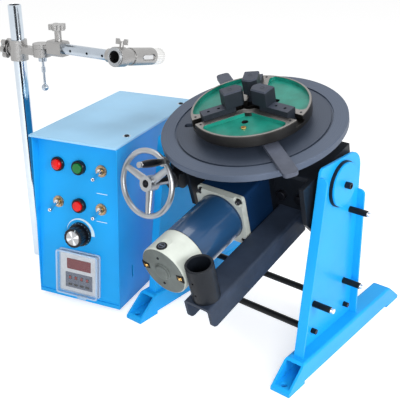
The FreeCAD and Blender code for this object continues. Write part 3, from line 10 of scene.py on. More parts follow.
import bmesh
import bpy
from mathutils import Matrix, Vector


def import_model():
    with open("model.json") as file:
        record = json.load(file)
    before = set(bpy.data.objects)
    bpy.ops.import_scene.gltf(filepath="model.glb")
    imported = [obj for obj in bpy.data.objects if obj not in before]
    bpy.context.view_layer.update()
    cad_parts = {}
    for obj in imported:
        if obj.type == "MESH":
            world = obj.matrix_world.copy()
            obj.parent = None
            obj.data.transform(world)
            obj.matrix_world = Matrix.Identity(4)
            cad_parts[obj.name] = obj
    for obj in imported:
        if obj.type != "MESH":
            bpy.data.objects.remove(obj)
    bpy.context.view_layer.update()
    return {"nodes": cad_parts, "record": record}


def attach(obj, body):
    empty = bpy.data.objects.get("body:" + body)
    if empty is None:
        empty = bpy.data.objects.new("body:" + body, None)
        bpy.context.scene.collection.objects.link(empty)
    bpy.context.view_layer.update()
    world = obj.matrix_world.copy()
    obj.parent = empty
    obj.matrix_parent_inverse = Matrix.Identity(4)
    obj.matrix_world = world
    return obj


MM = 0.001
SEGMENTS = 48

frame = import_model()
joints = {j["name"]: j for j in frame["record"]["behaviour"]["joints"]}
mounts = {m["name"]: m for m in frame["record"]["mounts"]}


# ---- places ---------------------------------------------------------------------
def place(origin, x_axis, z_axis):
    """Matrix of a frame from its origin, its X axis and its Z axis."""
    x, z = Vector(x_axis).normalized(), Vector(z_axis).normalized()
    y = z.cross(x).normalized()
    x = y.cross(z)
    matrix = Matrix((x, y, z)).transposed().to_4x4()
    matrix.translation = Vector(origin)
    return matrix


def looking(matrix, point, direction):
    """Frame inside another one: origin at a point, Z along a direction."""
    z = Vector(direction).normalized()
    side = Vector((1, 0, 0)) if abs(z.x) < 0.9 else Vector((0, 1, 0))
    return matrix @ place(point, side - side.project(z), z)


TILT = place(joints["tilt"]["pos_m"], (1, 0, 0), joints["table_spin"]["axis"])
ARM_ANGLE = math.degrees(math.atan2(
    Vector(joints["jaw_1_slide"]["axis"]).dot(TILT.col[1].to_3d()), joints["jaw_1_slide"]["axis"][0]))
PANEL = place(joints["speed_knob_turn"]["pos_m"], joints["toggle_1_throw"]["axis"],
              Vector(joints["toggle_1_throw"]["axis"]).cross(Vector(joints["green_button_press"]["axis"])))
WORM = place(joints["handwheel_turn"]["pos_m"], (1, 0, 0),
             Vector((1, 0, 0)).cross(Vector(joints["handwheel_turn"]["axis"])))

BOX_YAW = math.atan2(PANEL.col[0].y, PANEL.col[0].x)
BOX = Matrix.Rotation(BOX_YAW, 4, "Z")


def local_box(node, matrix):
    """Lowest and highest corners of a CAD node in another frame."""
    inverse = matrix.inverted()
    corners = [inverse @ v.co for v in frame["nodes"][node].data.vertices]
    low = Vector([min(c[i] for c in corners) for i in range(3)])
    high = Vector([max(c[i] for c in corners) for i in range(3)])
    return low, high


# ---- materials --------------------------------------------------------------------
class Nodes:
    """Short way to write a material's node tree."""

    def __init__(self, name):
        self.material = bpy.data.materials.new(name)
        self.material.use_nodes = True
        self.tree = self.material.node_tree
        self.shader = self.tree.nodes["Principled BSDF"]
        self.coords = self.tree.nodes.new("ShaderNodeTexCoord").outputs["Object"]

    def link(self, source, target):
        self.tree.links.new(source, target)

    def node(self, kind, inputs=(), **settings):
        made = self.tree.nodes.new(kind)
        for key, value in settings.items():
            setattr(made, key, value)
        for key, value in dict(inputs).items():
            if isinstance(value, bpy.types.NodeSocket):
                self.link(value, made.inputs[key])
            else:
                made.inputs[key].default_value = value
        return made

    def set(self, **values):
        for key, value in values.items():
            socket = self.shader.inputs[key.replace("_", " ").title().replace("Ior", "IOR")]
            socket.default_value = value
        return self

    def noise(self, scale, detail=3.0, roughness=0.5, vector=None):
        return self.node("ShaderNodeTexNoise", {"Vector": vector or self.coords, "Scale": scale,
                                                "Detail": detail, "Roughness": roughness}).outputs["Fac"]

    def stretch(self, scale):
        return self.node("ShaderNodeMapping", {"Vector": self.coords, "Scale": scale}).outputs["Vector"]

    def local(self, matrix):
        """Coordinates in another frame, in metres."""
        inverse = matrix.inverted()
        return self.node("ShaderNodeMapping", {
            "Vector": self.coords, "Location": inverse.translation,
            "Rotation": inverse.to_euler("XYZ")}).outputs["Vector"]

    def math(self, operation, a, b=0.0):
        made = self.node("ShaderNodeMath", {0: a, 1: b}, operation=operation)
        return made.outputs[0]

    def ramp(self, factor, stops):
        made = self.node("ShaderNodeValToRGB", {"Fac": factor})
        elements = made.color_ramp.elements
        while len(elements) < len(stops):
            elements.new(0.5)
        for element, (position, color) in zip(elements, stops):
            element.position = position
            element.color = (*color, 1) if len(color) == 3 else color
        return made.outputs["Color"]

    def span(self, factor, low, high):
        return self.node("ShaderNodeMapRange", {"Value": factor, "To Min": low, "To Max": high}).outputs[0]

    def mix(self, factor, a, b):
        made = self.node("ShaderNodeMix", {"Factor": factor}, data_type="RGBA")
        for socket, value in ((made.inputs[6], a), (made.inputs[7], b)):
            if isinstance(value, bpy.types.NodeSocket):
                self.link(value, socket)
            else:
                socket.default_value = (*value, 1)
        return made.outputs[2]

    def distance(self, x, y):
        return self.math("SQRT", self.math("ADD", self.math("POWER", x, 2.0), self.math("POWER", y, 2.0)))

    def rings(self, radius, per_metre, detail):
        """Noise that changes along a radius only, like turning marks."""
        along = self.math("MULTIPLY", radius, per_metre)
        return self.node("ShaderNodeTexNoise", {"W": along, "Scale": 1.0, "Detail": detail},
                         noise_dimensions="1D").outputs["Fac"]

    def tones(self, value, color, low, high, stops=(0.3, 0.7)):
        """Colour that runs with a value between two shades of one colour."""
        return self.ramp(value, [(stops[0], shade(color, low)), (stops[1], shade(color, high))])

    def paint(self, color):
        self.link(color, self.shader.inputs["Base Color"])

    def rough(self, value, low, high):
        self.link(self.span(value, low, high), self.shader.inputs["Roughness"])

    def edge_bump(self, radius, height=None, strength=0.2, distance=0.0004):
        """Softens hard edges, and adds a bump when a height is given."""
        bevel = self.node("ShaderNodeBevel", {"Radius": radius}, samples=4)
        normal = bevel.outputs[0]
        if height is not None:
            normal = self.node("ShaderNodeBump", {"Height": height, "Normal": normal, "Strength": strength,
                                                  "Distance": distance}).outputs[0]
        self.link(normal, self.shader.inputs["Normal"])
        return self


def shade(color, amount):
    return tuple(min(1.0, c * amount) for c in color)


def powder_coat(name, color, roughness=0.32, coat=0.35):
    """Gloss powder coat: faint orange peel, small changes of tone."""
    n = Nodes(name)
    tone = n.noise(9.0, 2.0)
    n.paint(n.tones(tone, color, 0.93, 1.06))
    n.rough(n.noise(60.0, 4.0), roughness - 0.05, roughness + 0.06)
    n.set(coat_weight=coat, coat_roughness=0.12, specular_ior_level=0.22)
    return n.edge_bump(0.0009, n.noise(420.0, 2.0), 0.10, 0.0003).material


def satin_black(name, color, roughness=0.42):
    n = Nodes(name)
    tone = n.noise(25.0, 5.0, 0.6)
    n.paint(n.tones(tone, color, 0.8, 1.35, (0.3, 0.75)))
    n.rough(n.noise(90.0, 5.0), roughness - 0.08, roughness + 0.1)
    n.set(specular_ior_level=0.2)
    return n.edge_bump(0.0008, n.noise(700.0, 3.0), 0.16, 0.0003).material


def ground_and_painted_lit_top(name, matrix, top, sides, roughness=0.5):
    """Blackened steel whose faces along a frame's Z are lighter: partly ground steel, partly a painted
    highlight of the light from above.
    """
    n = Nodes(name)
    up = matrix.col[2]
    normal = n.node("ShaderNodeTexCoord").outputs["Normal"]
    rise = n.node("ShaderNodeVectorMath", {0: normal, 1: (up.x, up.y, up.z)},
                  operation="DOT_PRODUCT").outputs["Value"]
    tone = n.noise(45.0, 5.0, 0.6)
    light = n.tones(tone, top, 0.85, 1.2, (0.3, 0.75))
    dark = n.tones(tone, sides, 0.8, 1.3, (0.3, 0.75))
    # Faces turned up take the lighter tone: a painted highlight from above, besides the ground finish.
    n.paint(n.mix(n.math("GREATER_THAN", rise, 0.7), dark, light))
    n.rough(n.noise(90.0, 5.0), roughness - 0.08, roughness + 0.1)
    n.set(specular_ior_level=0.25)
    return n.edge_bump(0.0008, n.noise(700.0, 3.0), 0.16, 0.0003).material


def oxide_steel(name, color=(0.022, 0.024, 0.03), roughness=0.36):
    n = Nodes(name)
    tone = n.noise(60.0, 5.0, 0.65)
    n.paint(n.tones(tone, color, 0.7, 2.0, (0.3, 0.8)))
    n.rough(tone, roughness - 0.08, roughness + 0.12)
    n.set(metallic=0.75)
    return n.edge_bump(0.0006, n.noise(900.0, 2.0), 0.12, 0.0002).material


def casting(name, color, roughness=0.55, metallic=0.0, grain=0.5):
    n = Nodes(name)
    tone = n.noise(40.0, 6.0, 0.65)
    n.paint(n.tones(tone, color, 0.82, 1.15, (0.3, 0.75)))
    n.rough(n.noise(120.0, 4.0), roughness - 0.1, roughness + 0.1)
    n.set(metallic=metallic)
    return n.edge_bump(0.0010, n.noise(650.0, 5.0, 0.7), grain, 0.0004).material


def turned_steel(name, matrix, color, ring_color=None, ring_from=0.0, roughness=0.3, metallic=0.9):
    """Steel with fine turning rings about a frame's Z axis, and another tone outside a radius."""
    n = Nodes(name)
    parts = n.node("ShaderNodeSeparateXYZ", {"Vector": n.local(matrix)})
    radius = n.distance(parts.outputs[0], parts.outputs[1])
    rings = n.rings(radius, 900.0, 4.0)
    smear = n.noise(16.0, 5.0, 0.6)
    base = n.tones(rings, color, 0.7, 1.28)
    if ring_color is not None:
        outer = n.tones(rings, ring_color, 0.82, 1.15)
        base = n.mix(n.math("GREATER_THAN", radius, ring_from), base, outer)
    n.paint(base)
    blend = n.math("ADD", n.math("MULTIPLY", rings, 0.5), n.math("MULTIPLY", smear, 0.5))
    n.rough(blend, roughness - 0.08, roughness + 0.16)
    n.set(metallic=metallic)
    return n.edge_bump(0.0006, rings, 0.08, 0.0002).material


def ground_steel(name, color=(0.36, 0.37, 0.40), roughness=0.3):
    n = Nodes(name)
    grain = n.noise(1.0, 4.0, 0.6, n.stretch((30, 900, 900)))
    n.paint(n.tones(grain, color, 0.8, 1.12))
    n.rough(grain, roughness - 0.08, roughness + 0.12)
    n.set(metallic=1.0)
    return n.edge_bump(0.0005, grain, 0.08, 0.0001).material


def chrome(name, color=(0.78, 0.79, 0.81), roughness=0.10):
    n = Nodes(name)
    wear = n.noise(45.0, 6.0, 0.7)
    n.paint(n.ramp(wear, [(0.35, shade(color, 0.9)), (0.7, color)]))
    n.rough(wear, roughness - 0.04, roughness + 0.08)
    n.set(metallic=1.0)
    return n.edge_bump(0.0006, n.noise(300.0, 2.0), 0.03, 0.0001).material


def plastic(name, color, roughness=0.35, grain=0.1, coat=0.0):
    n = Nodes(name)
    tone = n.noise(80.0, 2.0)
    n.paint(n.tones(tone, color, 0.92, 1.08))
    n.rough(n.noise(200.0, 3.0), roughness - 0.06, roughness + 0.06)
    n.set(coat_weight=coat, coat_roughness=0.08, specular_ior_level=0.25)
    return n.edge_bump(0.0004, n.noise(1400.0, 2.0), grain, 0.0002).material


def spun_metal(name, matrix, color, roughness=0.28):
    """Metal turned about a frame's Y axis, with bright and dark fans across its face: painted reflections of
    spun metal.
    """
    n = Nodes(name)
    parts = n.node("ShaderNodeSeparateXYZ", {"Vector": n.local(matrix)})
    angle = n.math("ARCTAN2", parts.outputs[2], parts.outputs[0])
    # The fans are painted reflections: the bright and dark sectors that light gives on spun metal.
    fans = n.math("SINE", n.math("MULTIPLY", angle, 4.0))
    n.paint(n.tones(n.span(fans, 0.0, 1.0), color, 0.6, 1.25, (0.3, 0.75)))
    rings = n.rings(n.distance(parts.outputs[0], parts.outputs[2]), 2500.0, 2.0)
    n.rough(rings, roughness - 0.06, roughness + 0.1)
    n.set(metallic=0.85)
    return n.edge_bump(0.0004, rings, 0.08, 0.0001).material


def clear_plastic(name, alpha, color=(0.93, 0.96, 0.98)):
    n = Nodes(name)
    scuffs = n.noise(140.0, 5.0, 0.7)
    n.rough(scuffs, 0.03, 0.14)
    n.paint(n.ramp(scuffs, [(0.3, color), (0.7, shade(color, 1.06))]))
    n.set(alpha=alpha, specular_ior_level=0.5)
    return n.edge_bump(0.0008, scuffs, 0.02, 0.0001).material


def chuck_enamel(name, matrix, rim, face, arm_half, land, depth):
    """Green enamel in the sunken sectors; machined steel on the rim, the land, the arms and the side, its
    tops painted lit and its walls and side painted in shade.
    """
    n = Nodes(name)
    parts = n.node("ShaderNodeSeparateXYZ", {"Vector": n.local(matrix)})
    x, y, z = parts.outputs
    radius = n.distance(x, y)
    sunk = n.math("MULTIPLY", n.math("LESS_THAN", z, face - 0.0006), n.math("GREATER_THAN", z, face - depth))
    inside = n.math("MULTIPLY", n.math("LESS_THAN", radius, rim), n.math("GREATER_THAN", radius, land))
    green = n.math("MULTIPLY", sunk, inside)
    for i in range(3):
        angle = math.radians(ARM_ANGLE + 120 * i)
        ahead = n.math("ADD", n.math("MULTIPLY", x, math.cos(angle)), n.math("MULTIPLY", y, math.sin(angle)))
        across = n.math("SUBTRACT", n.math("MULTIPLY", y, math.cos(angle)),
                        n.math("MULTIPLY", x, math.sin(angle)))
        in_slot = n.math("MULTIPLY", n.math("GREATER_THAN", ahead, 0.0),
                         n.math("LESS_THAN", n.math("ABSOLUTE", across), arm_half))
        green = n.math("MULTIPLY", green, n.math("SUBTRACT", 1.0, in_slot))
    rings = n.rings(radius, 1200.0, 3.0)
    # Machined steel facing up takes a bright copy of its colour, and its walls and side a dark copy: painted
    # light and painted shade.
    top = n.math("GREATER_THAN", z, face - 0.0004)
    bright = n.ramp(rings, [(0.3, (0.19, 0.18, 0.17)), (0.7, (0.33, 0.32, 0.31))])
    dark = n.ramp(rings, [(0.3, (0.035, 0.034, 0.033)), (0.7, (0.075, 0.072, 0.068))])
    steel = n.mix(top, dark, bright)
    paint = n.ramp(n.noise(35.0, 5.0, 0.6), [(0.3, (0.004, 0.17, 0.125)), (0.7, (0.010, 0.27, 0.205))])
    n.paint(n.mix(green, steel, paint))
    n.link(n.math("SUBTRACT", 0.95, n.math("MULTIPLY", green, 0.95)), n.shader.inputs["Metallic"])
    n.rough(rings, 0.26, 0.42)
    return n.edge_bump(0.0007, n.noise(500.0, 4.0), 0.12, 0.0003).material


def two_tone(name, matrix, split, face, side, roughness=0.4):
    """Casting with its machined face, below a height in a frame's Y, in another tone."""
    n = Nodes(name)
    y = n.node("ShaderNodeSeparateXYZ", {"Vector": n.local(matrix)}).outputs[1]
    tone = n.noise(50.0, 5.0, 0.6)
    outer = n.tones(tone, side, 0.93, 1.05, (0.3, 0.75))
    inner = n.tones(tone, face, 0.8, 1.2, (0.3, 0.75))
    n.paint(n.mix(n.math("LESS_THAN", y, split), outer, inner))
    n.set(specular_ior_level=0.25)
    n.rough(n.noise(120.0, 4.0), roughness - 0.08, roughness + 0.12)
    return n.edge_bump(0.0008, n.noise(650.0, 5.0, 0.7), 0.18, 0.0003).material


BLUE = (0.010, 0.37, 0.86)
# The box's blue paint made lighter: a painted highlight of the light on the cover's top.
COVER_BLUE_PAINTED_HIGHLIGHT = (0.34, 0.63, 0.88)
TABLE_RISE = local_box("turntable", TILT)[1].z
CHUCK_RISE = local_box("chuck_body", TILT)[1].z
TABLE_FACE = TILT @ Matrix.Translation((0, 0, TABLE_RISE))
CAP_FACE = local_box("motor_end_cap", TILT)[0].y + 5 * MM     # behind the middle boss

materials = {
    "blue_paint": powder_coat("blue_paint", BLUE, 0.4, 0.04),
    # Same blue paint as the box, lighter for the cover's painted highlight.
    "light_blue_paint": powder_coat("light_blue_paint", COVER_BLUE_PAINTED_HIGHLIGHT, 0.4, 0.04),
    "black_paint": satin_black("black_paint", (0.006, 0.008, 0.012)),
    "arm_black": satin_black("arm_black", (0.022, 0.032, 0.054), 0.5),
    "black_oxide": oxide_steel("black_oxide", (0.012, 0.013, 0.018)),
    # Jaw tops lighter than their sides: partly ground steel, partly a painted highlight.
    "jaw_black": ground_and_painted_lit_top("jaw_black", TILT, (0.042, 0.050, 0.072), (0.010, 0.014, 0.021)),
    "rod_black": satin_black("rod_black", (0.006, 0.007, 0.008), 0.35),
    "cast_case": casting("cast_case", (0.010, 0.012, 0.015), 0.42),
    "ground_steel": ground_steel("ground_steel"),
    # The darker tone inside 131 mm, in the ring round the chuck, is partly painted shade of the chuck.
    "table_steel": turned_steel("table_steel", TABLE_FACE, (0.042, 0.056, 0.086), (0.070, 0.092, 0.138),
                                0.131, 0.42, 0.35),
    "chuck_green": chuck_enamel("chuck_green", TILT, 0.0965, CHUCK_RISE, 0.0195, 0.027, 0.0084),
    "motor_blue": powder_coat("motor_blue", (0.012, 0.052, 0.130), 0.34, 0.7),
    "gearbox_blue": powder_coat("gearbox_blue", (0.004, 0.022, 0.070), 0.3, 0.3),
    "grey_casting": casting("grey_casting", (0.42, 0.45, 0.42), 0.42, 0.0, 0.15),
    "end_cap": two_tone("end_cap", TILT, CAP_FACE + 0.8 * MM, (0.13, 0.15, 0.145), (0.56, 0.60, 0.55)),
    "bronze": ground_steel("bronze", (0.50, 0.36, 0.22), 0.25),
    "brass": ground_steel("brass", (0.78, 0.53, 0.20), 0.22),
    "chrome": chrome("chrome"),
    "cast_chrome": chrome("cast_chrome", (0.46, 0.48, 0.50), 0.38),
    "cast_grey": chrome("cast_grey", (0.42, 0.415, 0.41), 0.36),
    # Blue-grey, darker than chrome: partly a satin finish, partly a painted reflection of the surroundings on
    # the cross tube and lock lever.
    "satin_chrome_painted_reflection": chrome("satin_chrome_painted_reflection", (0.50, 0.56, 0.63), 0.2),
    "pole_chrome": chrome("pole_chrome", (0.68, 0.76, 0.84), 0.07),
    "lever_steel": satin_black("lever_steel", (0.075, 0.085, 0.115), 0.4),
    "black_plastic": plastic("black_plastic", (0.004, 0.005, 0.008), 0.3, 0.1, 0.1),
    "white_plastic": plastic("white_plastic", (0.55, 0.58, 0.62), 0.4),
    "grey_plastic": plastic("grey_plastic", (0.10, 0.12, 0.17), 0.45),
    "white_ink": plastic("white_ink", (0.62, 0.80, 0.90), 0.5),
    "rubber": plastic("rubber", (0.018, 0.018, 0.018), 0.7, 0.3),
    "red_plastic": plastic("red_plastic", (0.70, 0.004, 0.004), 0.25, 0.05, 0.3),
    "display_red": plastic("display_red", (0.14, 0.004, 0.012), 0.3, 0.05),
    "green_plastic": plastic("green_plastic", (0.004, 0.17, 0.035), 0.25, 0.05, 0.3),
    "clear_plastic": clear_plastic("clear_plastic", 0.04),
    # Light blue-white and more opaque: partly the thicker rim of clear plastic, partly a painted highlight on
    # the cover's edges.
    "clear_edge_painted_highlight": clear_plastic("clear_edge_painted_highlight", 0.50, (0.55, 0.75, 0.98)),
    "spun_aluminium": spun_metal("spun_aluminium", PANEL, (0.70, 0.71, 0.73)),
    "white_metal": chrome("white_metal", (0.88, 0.88, 0.87), 0.35),
    # Near black for pieces that stand for the shade inside hollows: painted shade.
    "hollow_painted_shade": plastic("hollow_painted_shade", (0.004, 0.004, 0.005), 0.8),
}

NODES_OF_LOOK = {
    "table_steel": ("turntable",),
    "lever_steel": ("lever_bar",),
    "cast_chrome": ("handwheel",),
    "cast_grey": ("pole_clamp", "swivel_block", "clamp_knob", "tee_knob", "torch_clamp"),
    "bronze": ("panel_bushes",),
    "white_plastic": ("timer_body",),
    "satin_chrome_painted_reflection": ("cross_tube", "lock_lever"),
    "pole_chrome": ("stand_pole",),
    "arm_black": ("torch_arm",),
    "black_paint": ("torch_socket",),
    "gearbox_blue": ("gearbox",),
    "end_cap": ("motor_end_cap",),
    "rod_black": ("tie_rods", "tie_rod_bolts", "standoffs"),
    "jaw_black": ("top_jaw_1", "top_jaw_2", "top_jaw_3", "base_jaw_1", "base_jaw_2", "base_jaw_3"),
}
LOOK_OF_NODE = {node: look for look, nodes in NODES_OF_LOOK.items() for node in nodes}


def finish_nodes():
    """Gives every CAD node the material of its slot, or the finer one named for it."""
    slots = {s["node"]: s["material_slot"] for s in frame["record"]["subparts"]}
    for name, item in frame["nodes"].items():
        item.data.materials.clear()
        item.data.materials.append(materials[LOOK_OF_NODE.get(name, slots[name])])
        for polygon in item.data.polygons:
            polygon.use_smooth = True
        item.data.set_sharp_from_angle(angle=math.radians(30))


# ---- making pieces ------------------------------------------------------------------
def piece(name, mesh_maker, look, body, bevel=0.0, levels=0, sharp=35.0):
    """Object from a function that fills a bmesh; it rides on a body and takes its finish from a slot."""
    mesh = bpy.data.meshes.new(name)
    work = bmesh.new()
    mesh_maker(work)
    bmesh.ops.remove_doubles(work, verts=work.verts, dist=1e-7)
    bmesh.ops.recalc_face_normals(work, faces=work.faces)
    work.to_mesh(mesh)
    work.free()
    for polygon in mesh.polygons:
        polygon.use_smooth = True
    mesh.set_sharp_from_angle(angle=math.radians(sharp))
    mesh.materials.append(materials[look])
    item = bpy.data.objects.new(name, mesh)
    bpy.context.scene.collection.objects.link(item)
    if bevel:
        modifier = item.modifiers.new("bevel", "BEVEL")
        modifier.width = bevel
        modifier.segments = 3
        modifier.limit_method = "ANGLE"
    if levels:
        modifier = item.modifiers.new("smooth", "SUBSURF")
        modifier.levels = levels
        modifier.render_levels = levels
    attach(item, body)
    return item


def ring_of_points(work, matrix, radius, height, count=SEGMENTS):
    """Ring about Z; radius may be a function of the angle, and so may height."""
    points = []
    for i in range(count):
        angle = 2 * math.pi * i / count
        r = radius(angle) if callable(radius) else radius
        h = height(angle) if callable(height) else height
        points.append(work.verts.new(matrix @ Vector((r * math.cos(angle), r * math.sin(angle), h))))
    return points


def loft(work, rings, close_start=True, close_end=True):
    for a, b in zip(rings, rings[1:]):
        for i in range(len(a)):
            j = (i + 1) % len(a)
            work.faces.new((a[i], a[j], b[j], b[i]))
    if close_start:
        work.faces.new(list(reversed(rings[0])))
    if close_end:
        work.faces.new(rings[-1])


def turned_shape(work, matrix, profile, count=SEGMENTS, close_start=True, close_end=True):
    """Solid of revolution about Z from (radius, height) pairs."""
    loft(work, [ring_of_points(work, matrix, r, h, count) for r, h in profile], close_start, close_end)


def hexagon(size):
    """Radius at an angle of a hexagon whose flats are 2 * size apart."""
    return lambda a: size / math.cos((a % (math.pi / 3)) - math.pi / 6)


def cross_shape(length, half):
    """Radius at an angle of a plus sign."""
    def radius(angle):
        a = angle % (math.pi / 2)
        a = min(a, math.pi / 2 - a)
        if math.tan(a) < half / length:
            return length / math.cos(a)
        return half / math.sin(a)
    return radius


def slot_shape(length, half):
    def radius(angle):
        c, s = abs(math.cos(angle)), abs(math.sin(angle))
        return min(length / max(c, 1e-6), half / max(s, 1e-6))
    return radius


def screw_head(work, matrix, radius, height, recess, depth, dome=0.0, foot=0.0):
    """Screw head with its recess, standing on the frame's XY plane."""
    edge = min(radius, height) * 0.18
    profile = [(radius, -foot), (radius, height - edge), (radius - edge, height)]
    rings = [ring_of_points(work, matrix, r, h) for r, h in profile]
    rings.append(ring_of_points(work, matrix, lambda a: recess(a) * 1.02, height + dome))
    rings.append(ring_of_points(work, matrix, recess, height + dome - 0.0001))
    rings.append(ring_of_points(work, matrix, recess, height - depth))
    loft(work, rings)


def socket_screw(work, matrix, radius, height):
    screw_head(work, matrix, radius, height, hexagon(radius * 0.5), height * 0.6)


def cross_screw(work, matrix, radius, height):
    cross = cross_shape(radius * 0.62, radius * 0.16)
    screw_head(work, matrix, radius, height, cross, height * 0.7, height * 0.25)


def slot_screw(work, matrix, radius, height):
    screw_head(work, matrix, radius, height, slot_shape(radius * 0.93, radius * 0.14), height * 0.5)


def hexagon_nut(work, matrix, flat, bore, height):
    edge = flat * 0.08
    rings = [ring_of_points(work, matrix, bore, 0), ring_of_points(work, matrix, hexagon(flat - edge), 0),
             ring_of_points(work, matrix, hexagon(flat), edge),
             ring_of_points(work, matrix, hexagon(flat), height - edge),
             ring_of_points(work, matrix, hexagon(flat - edge), height),
             ring_of_points(work, matrix, bore + edge, height),
             ring_of_points(work, matrix, bore, height - edge)]
    loft(work, rings + [rings[0]], False, False)


def washer(work, matrix, outer, bore, height):
    edge = height * 0.2
    profile = [(bore, 0), (outer - edge, 0), (outer, edge), (outer, height - edge), (outer - edge, height),
               (bore, height)]
    rings = [ring_of_points(work, matrix, r, h) for r, h in profile]
    loft(work, rings + [rings[0]], False, False)


def thread(work, matrix, radius, length, pitch, rows=5):
    """Screw thread standing on the XY plane: a tube whose radius follows a helix."""
    depth = pitch * 0.3

    def helix(height):
        def at(angle):
            turn = (height / pitch - angle / (2 * math.pi)) % 1.0
            return radius - depth * abs(2 * turn - 1)
        return at
    count = max(2, int(length / pitch * rows))
    heights = [length * i / count for i in range(count + 1)]
    rings = [ring_of_points(work, matrix, radius - depth, 0.0)]
    rings += [ring_of_points(work, matrix, helix(h), h) for h in heights[1:-1]]
    rings.append(ring_of_points(work, matrix, radius - depth, length))
    loft(work, rings)


def outline_solid(work, matrix, points, low, high):
    """Prism between two heights from a closed outline in the XY plane."""
    rings = [[work.verts.new(matrix @ Vector((x, y, z))) for x, y in points] for z in (low, high)]
    loft(work, rings)


def rounded_outline(width, height, radius, steps=5):
    """Rectangle about the origin with round corners."""
    points = []
    for i, (sx, sy) in enumerate(((1, 1), (-1, 1), (-1, -1), (1, -1))):
        for step in range(steps + 1):
            angle = math.radians(90 * i + 90 * step / steps)
            points.append((sx * (width / 2 - radius) + radius * math.cos(angle),
                           sy * (height / 2 - radius) + radius * math.sin(angle)))
    return points


# ---- positioner ---------------------------------------------------------------------
def standoff_threads():
    def make(work):
        for i in (1, 2, 3):
            mount = mounts["standoff_%d" % i]
            length = mount["dims"]["length_mm"] * MM
            for side in (-1, 1):
                x, y, z = mount["pos_m"]
                start = Vector((side * (x - length / 2 + 0.0004), y, z))
                thread(work, looking(Matrix.Identity(4), start, (side, 0, 0)),
                       mount["dims"]["r_mm"] * MM + 0.0004, length, 1.25 * MM)
    piece("standoff_threads", make, "chrome", "frame")


def flat_ring(work, matrix, outer, inner, low, high, start=0.0, stop=360.0, steps=40):
    """Ring, or an arc of one, between two heights; the inner radius may follow the angle in degrees."""
    closed = stop - start >= 360
    count = steps if closed else steps + 1
    rings = []
    for i in range(count):
        degrees = start + (stop - start) * i / steps
        a = math.radians(degrees)
        inside = inner(degrees) if callable(inner) else inner
        corners = ((inside, low), (outer, low), (outer, high), (inside, high))
        points = [matrix @ Vector((r * math.cos(a), r * math.sin(a), h)) for r, h in corners]
        rings.append([work.verts.new(point) for point in points])
    if closed:
        loft(work, rings + [rings[0]], False, False)
    else:
        loft(work, rings)


def plate(work, matrix, middle, width, height, radius, low, high):
    """Rectangle with round corners in a frame's XY plane."""
    moved = matrix @ Matrix.Translation((middle[0], middle[1], 0))
    outline_solid(work, moved, rounded_outline(width, height, radius), low, high)


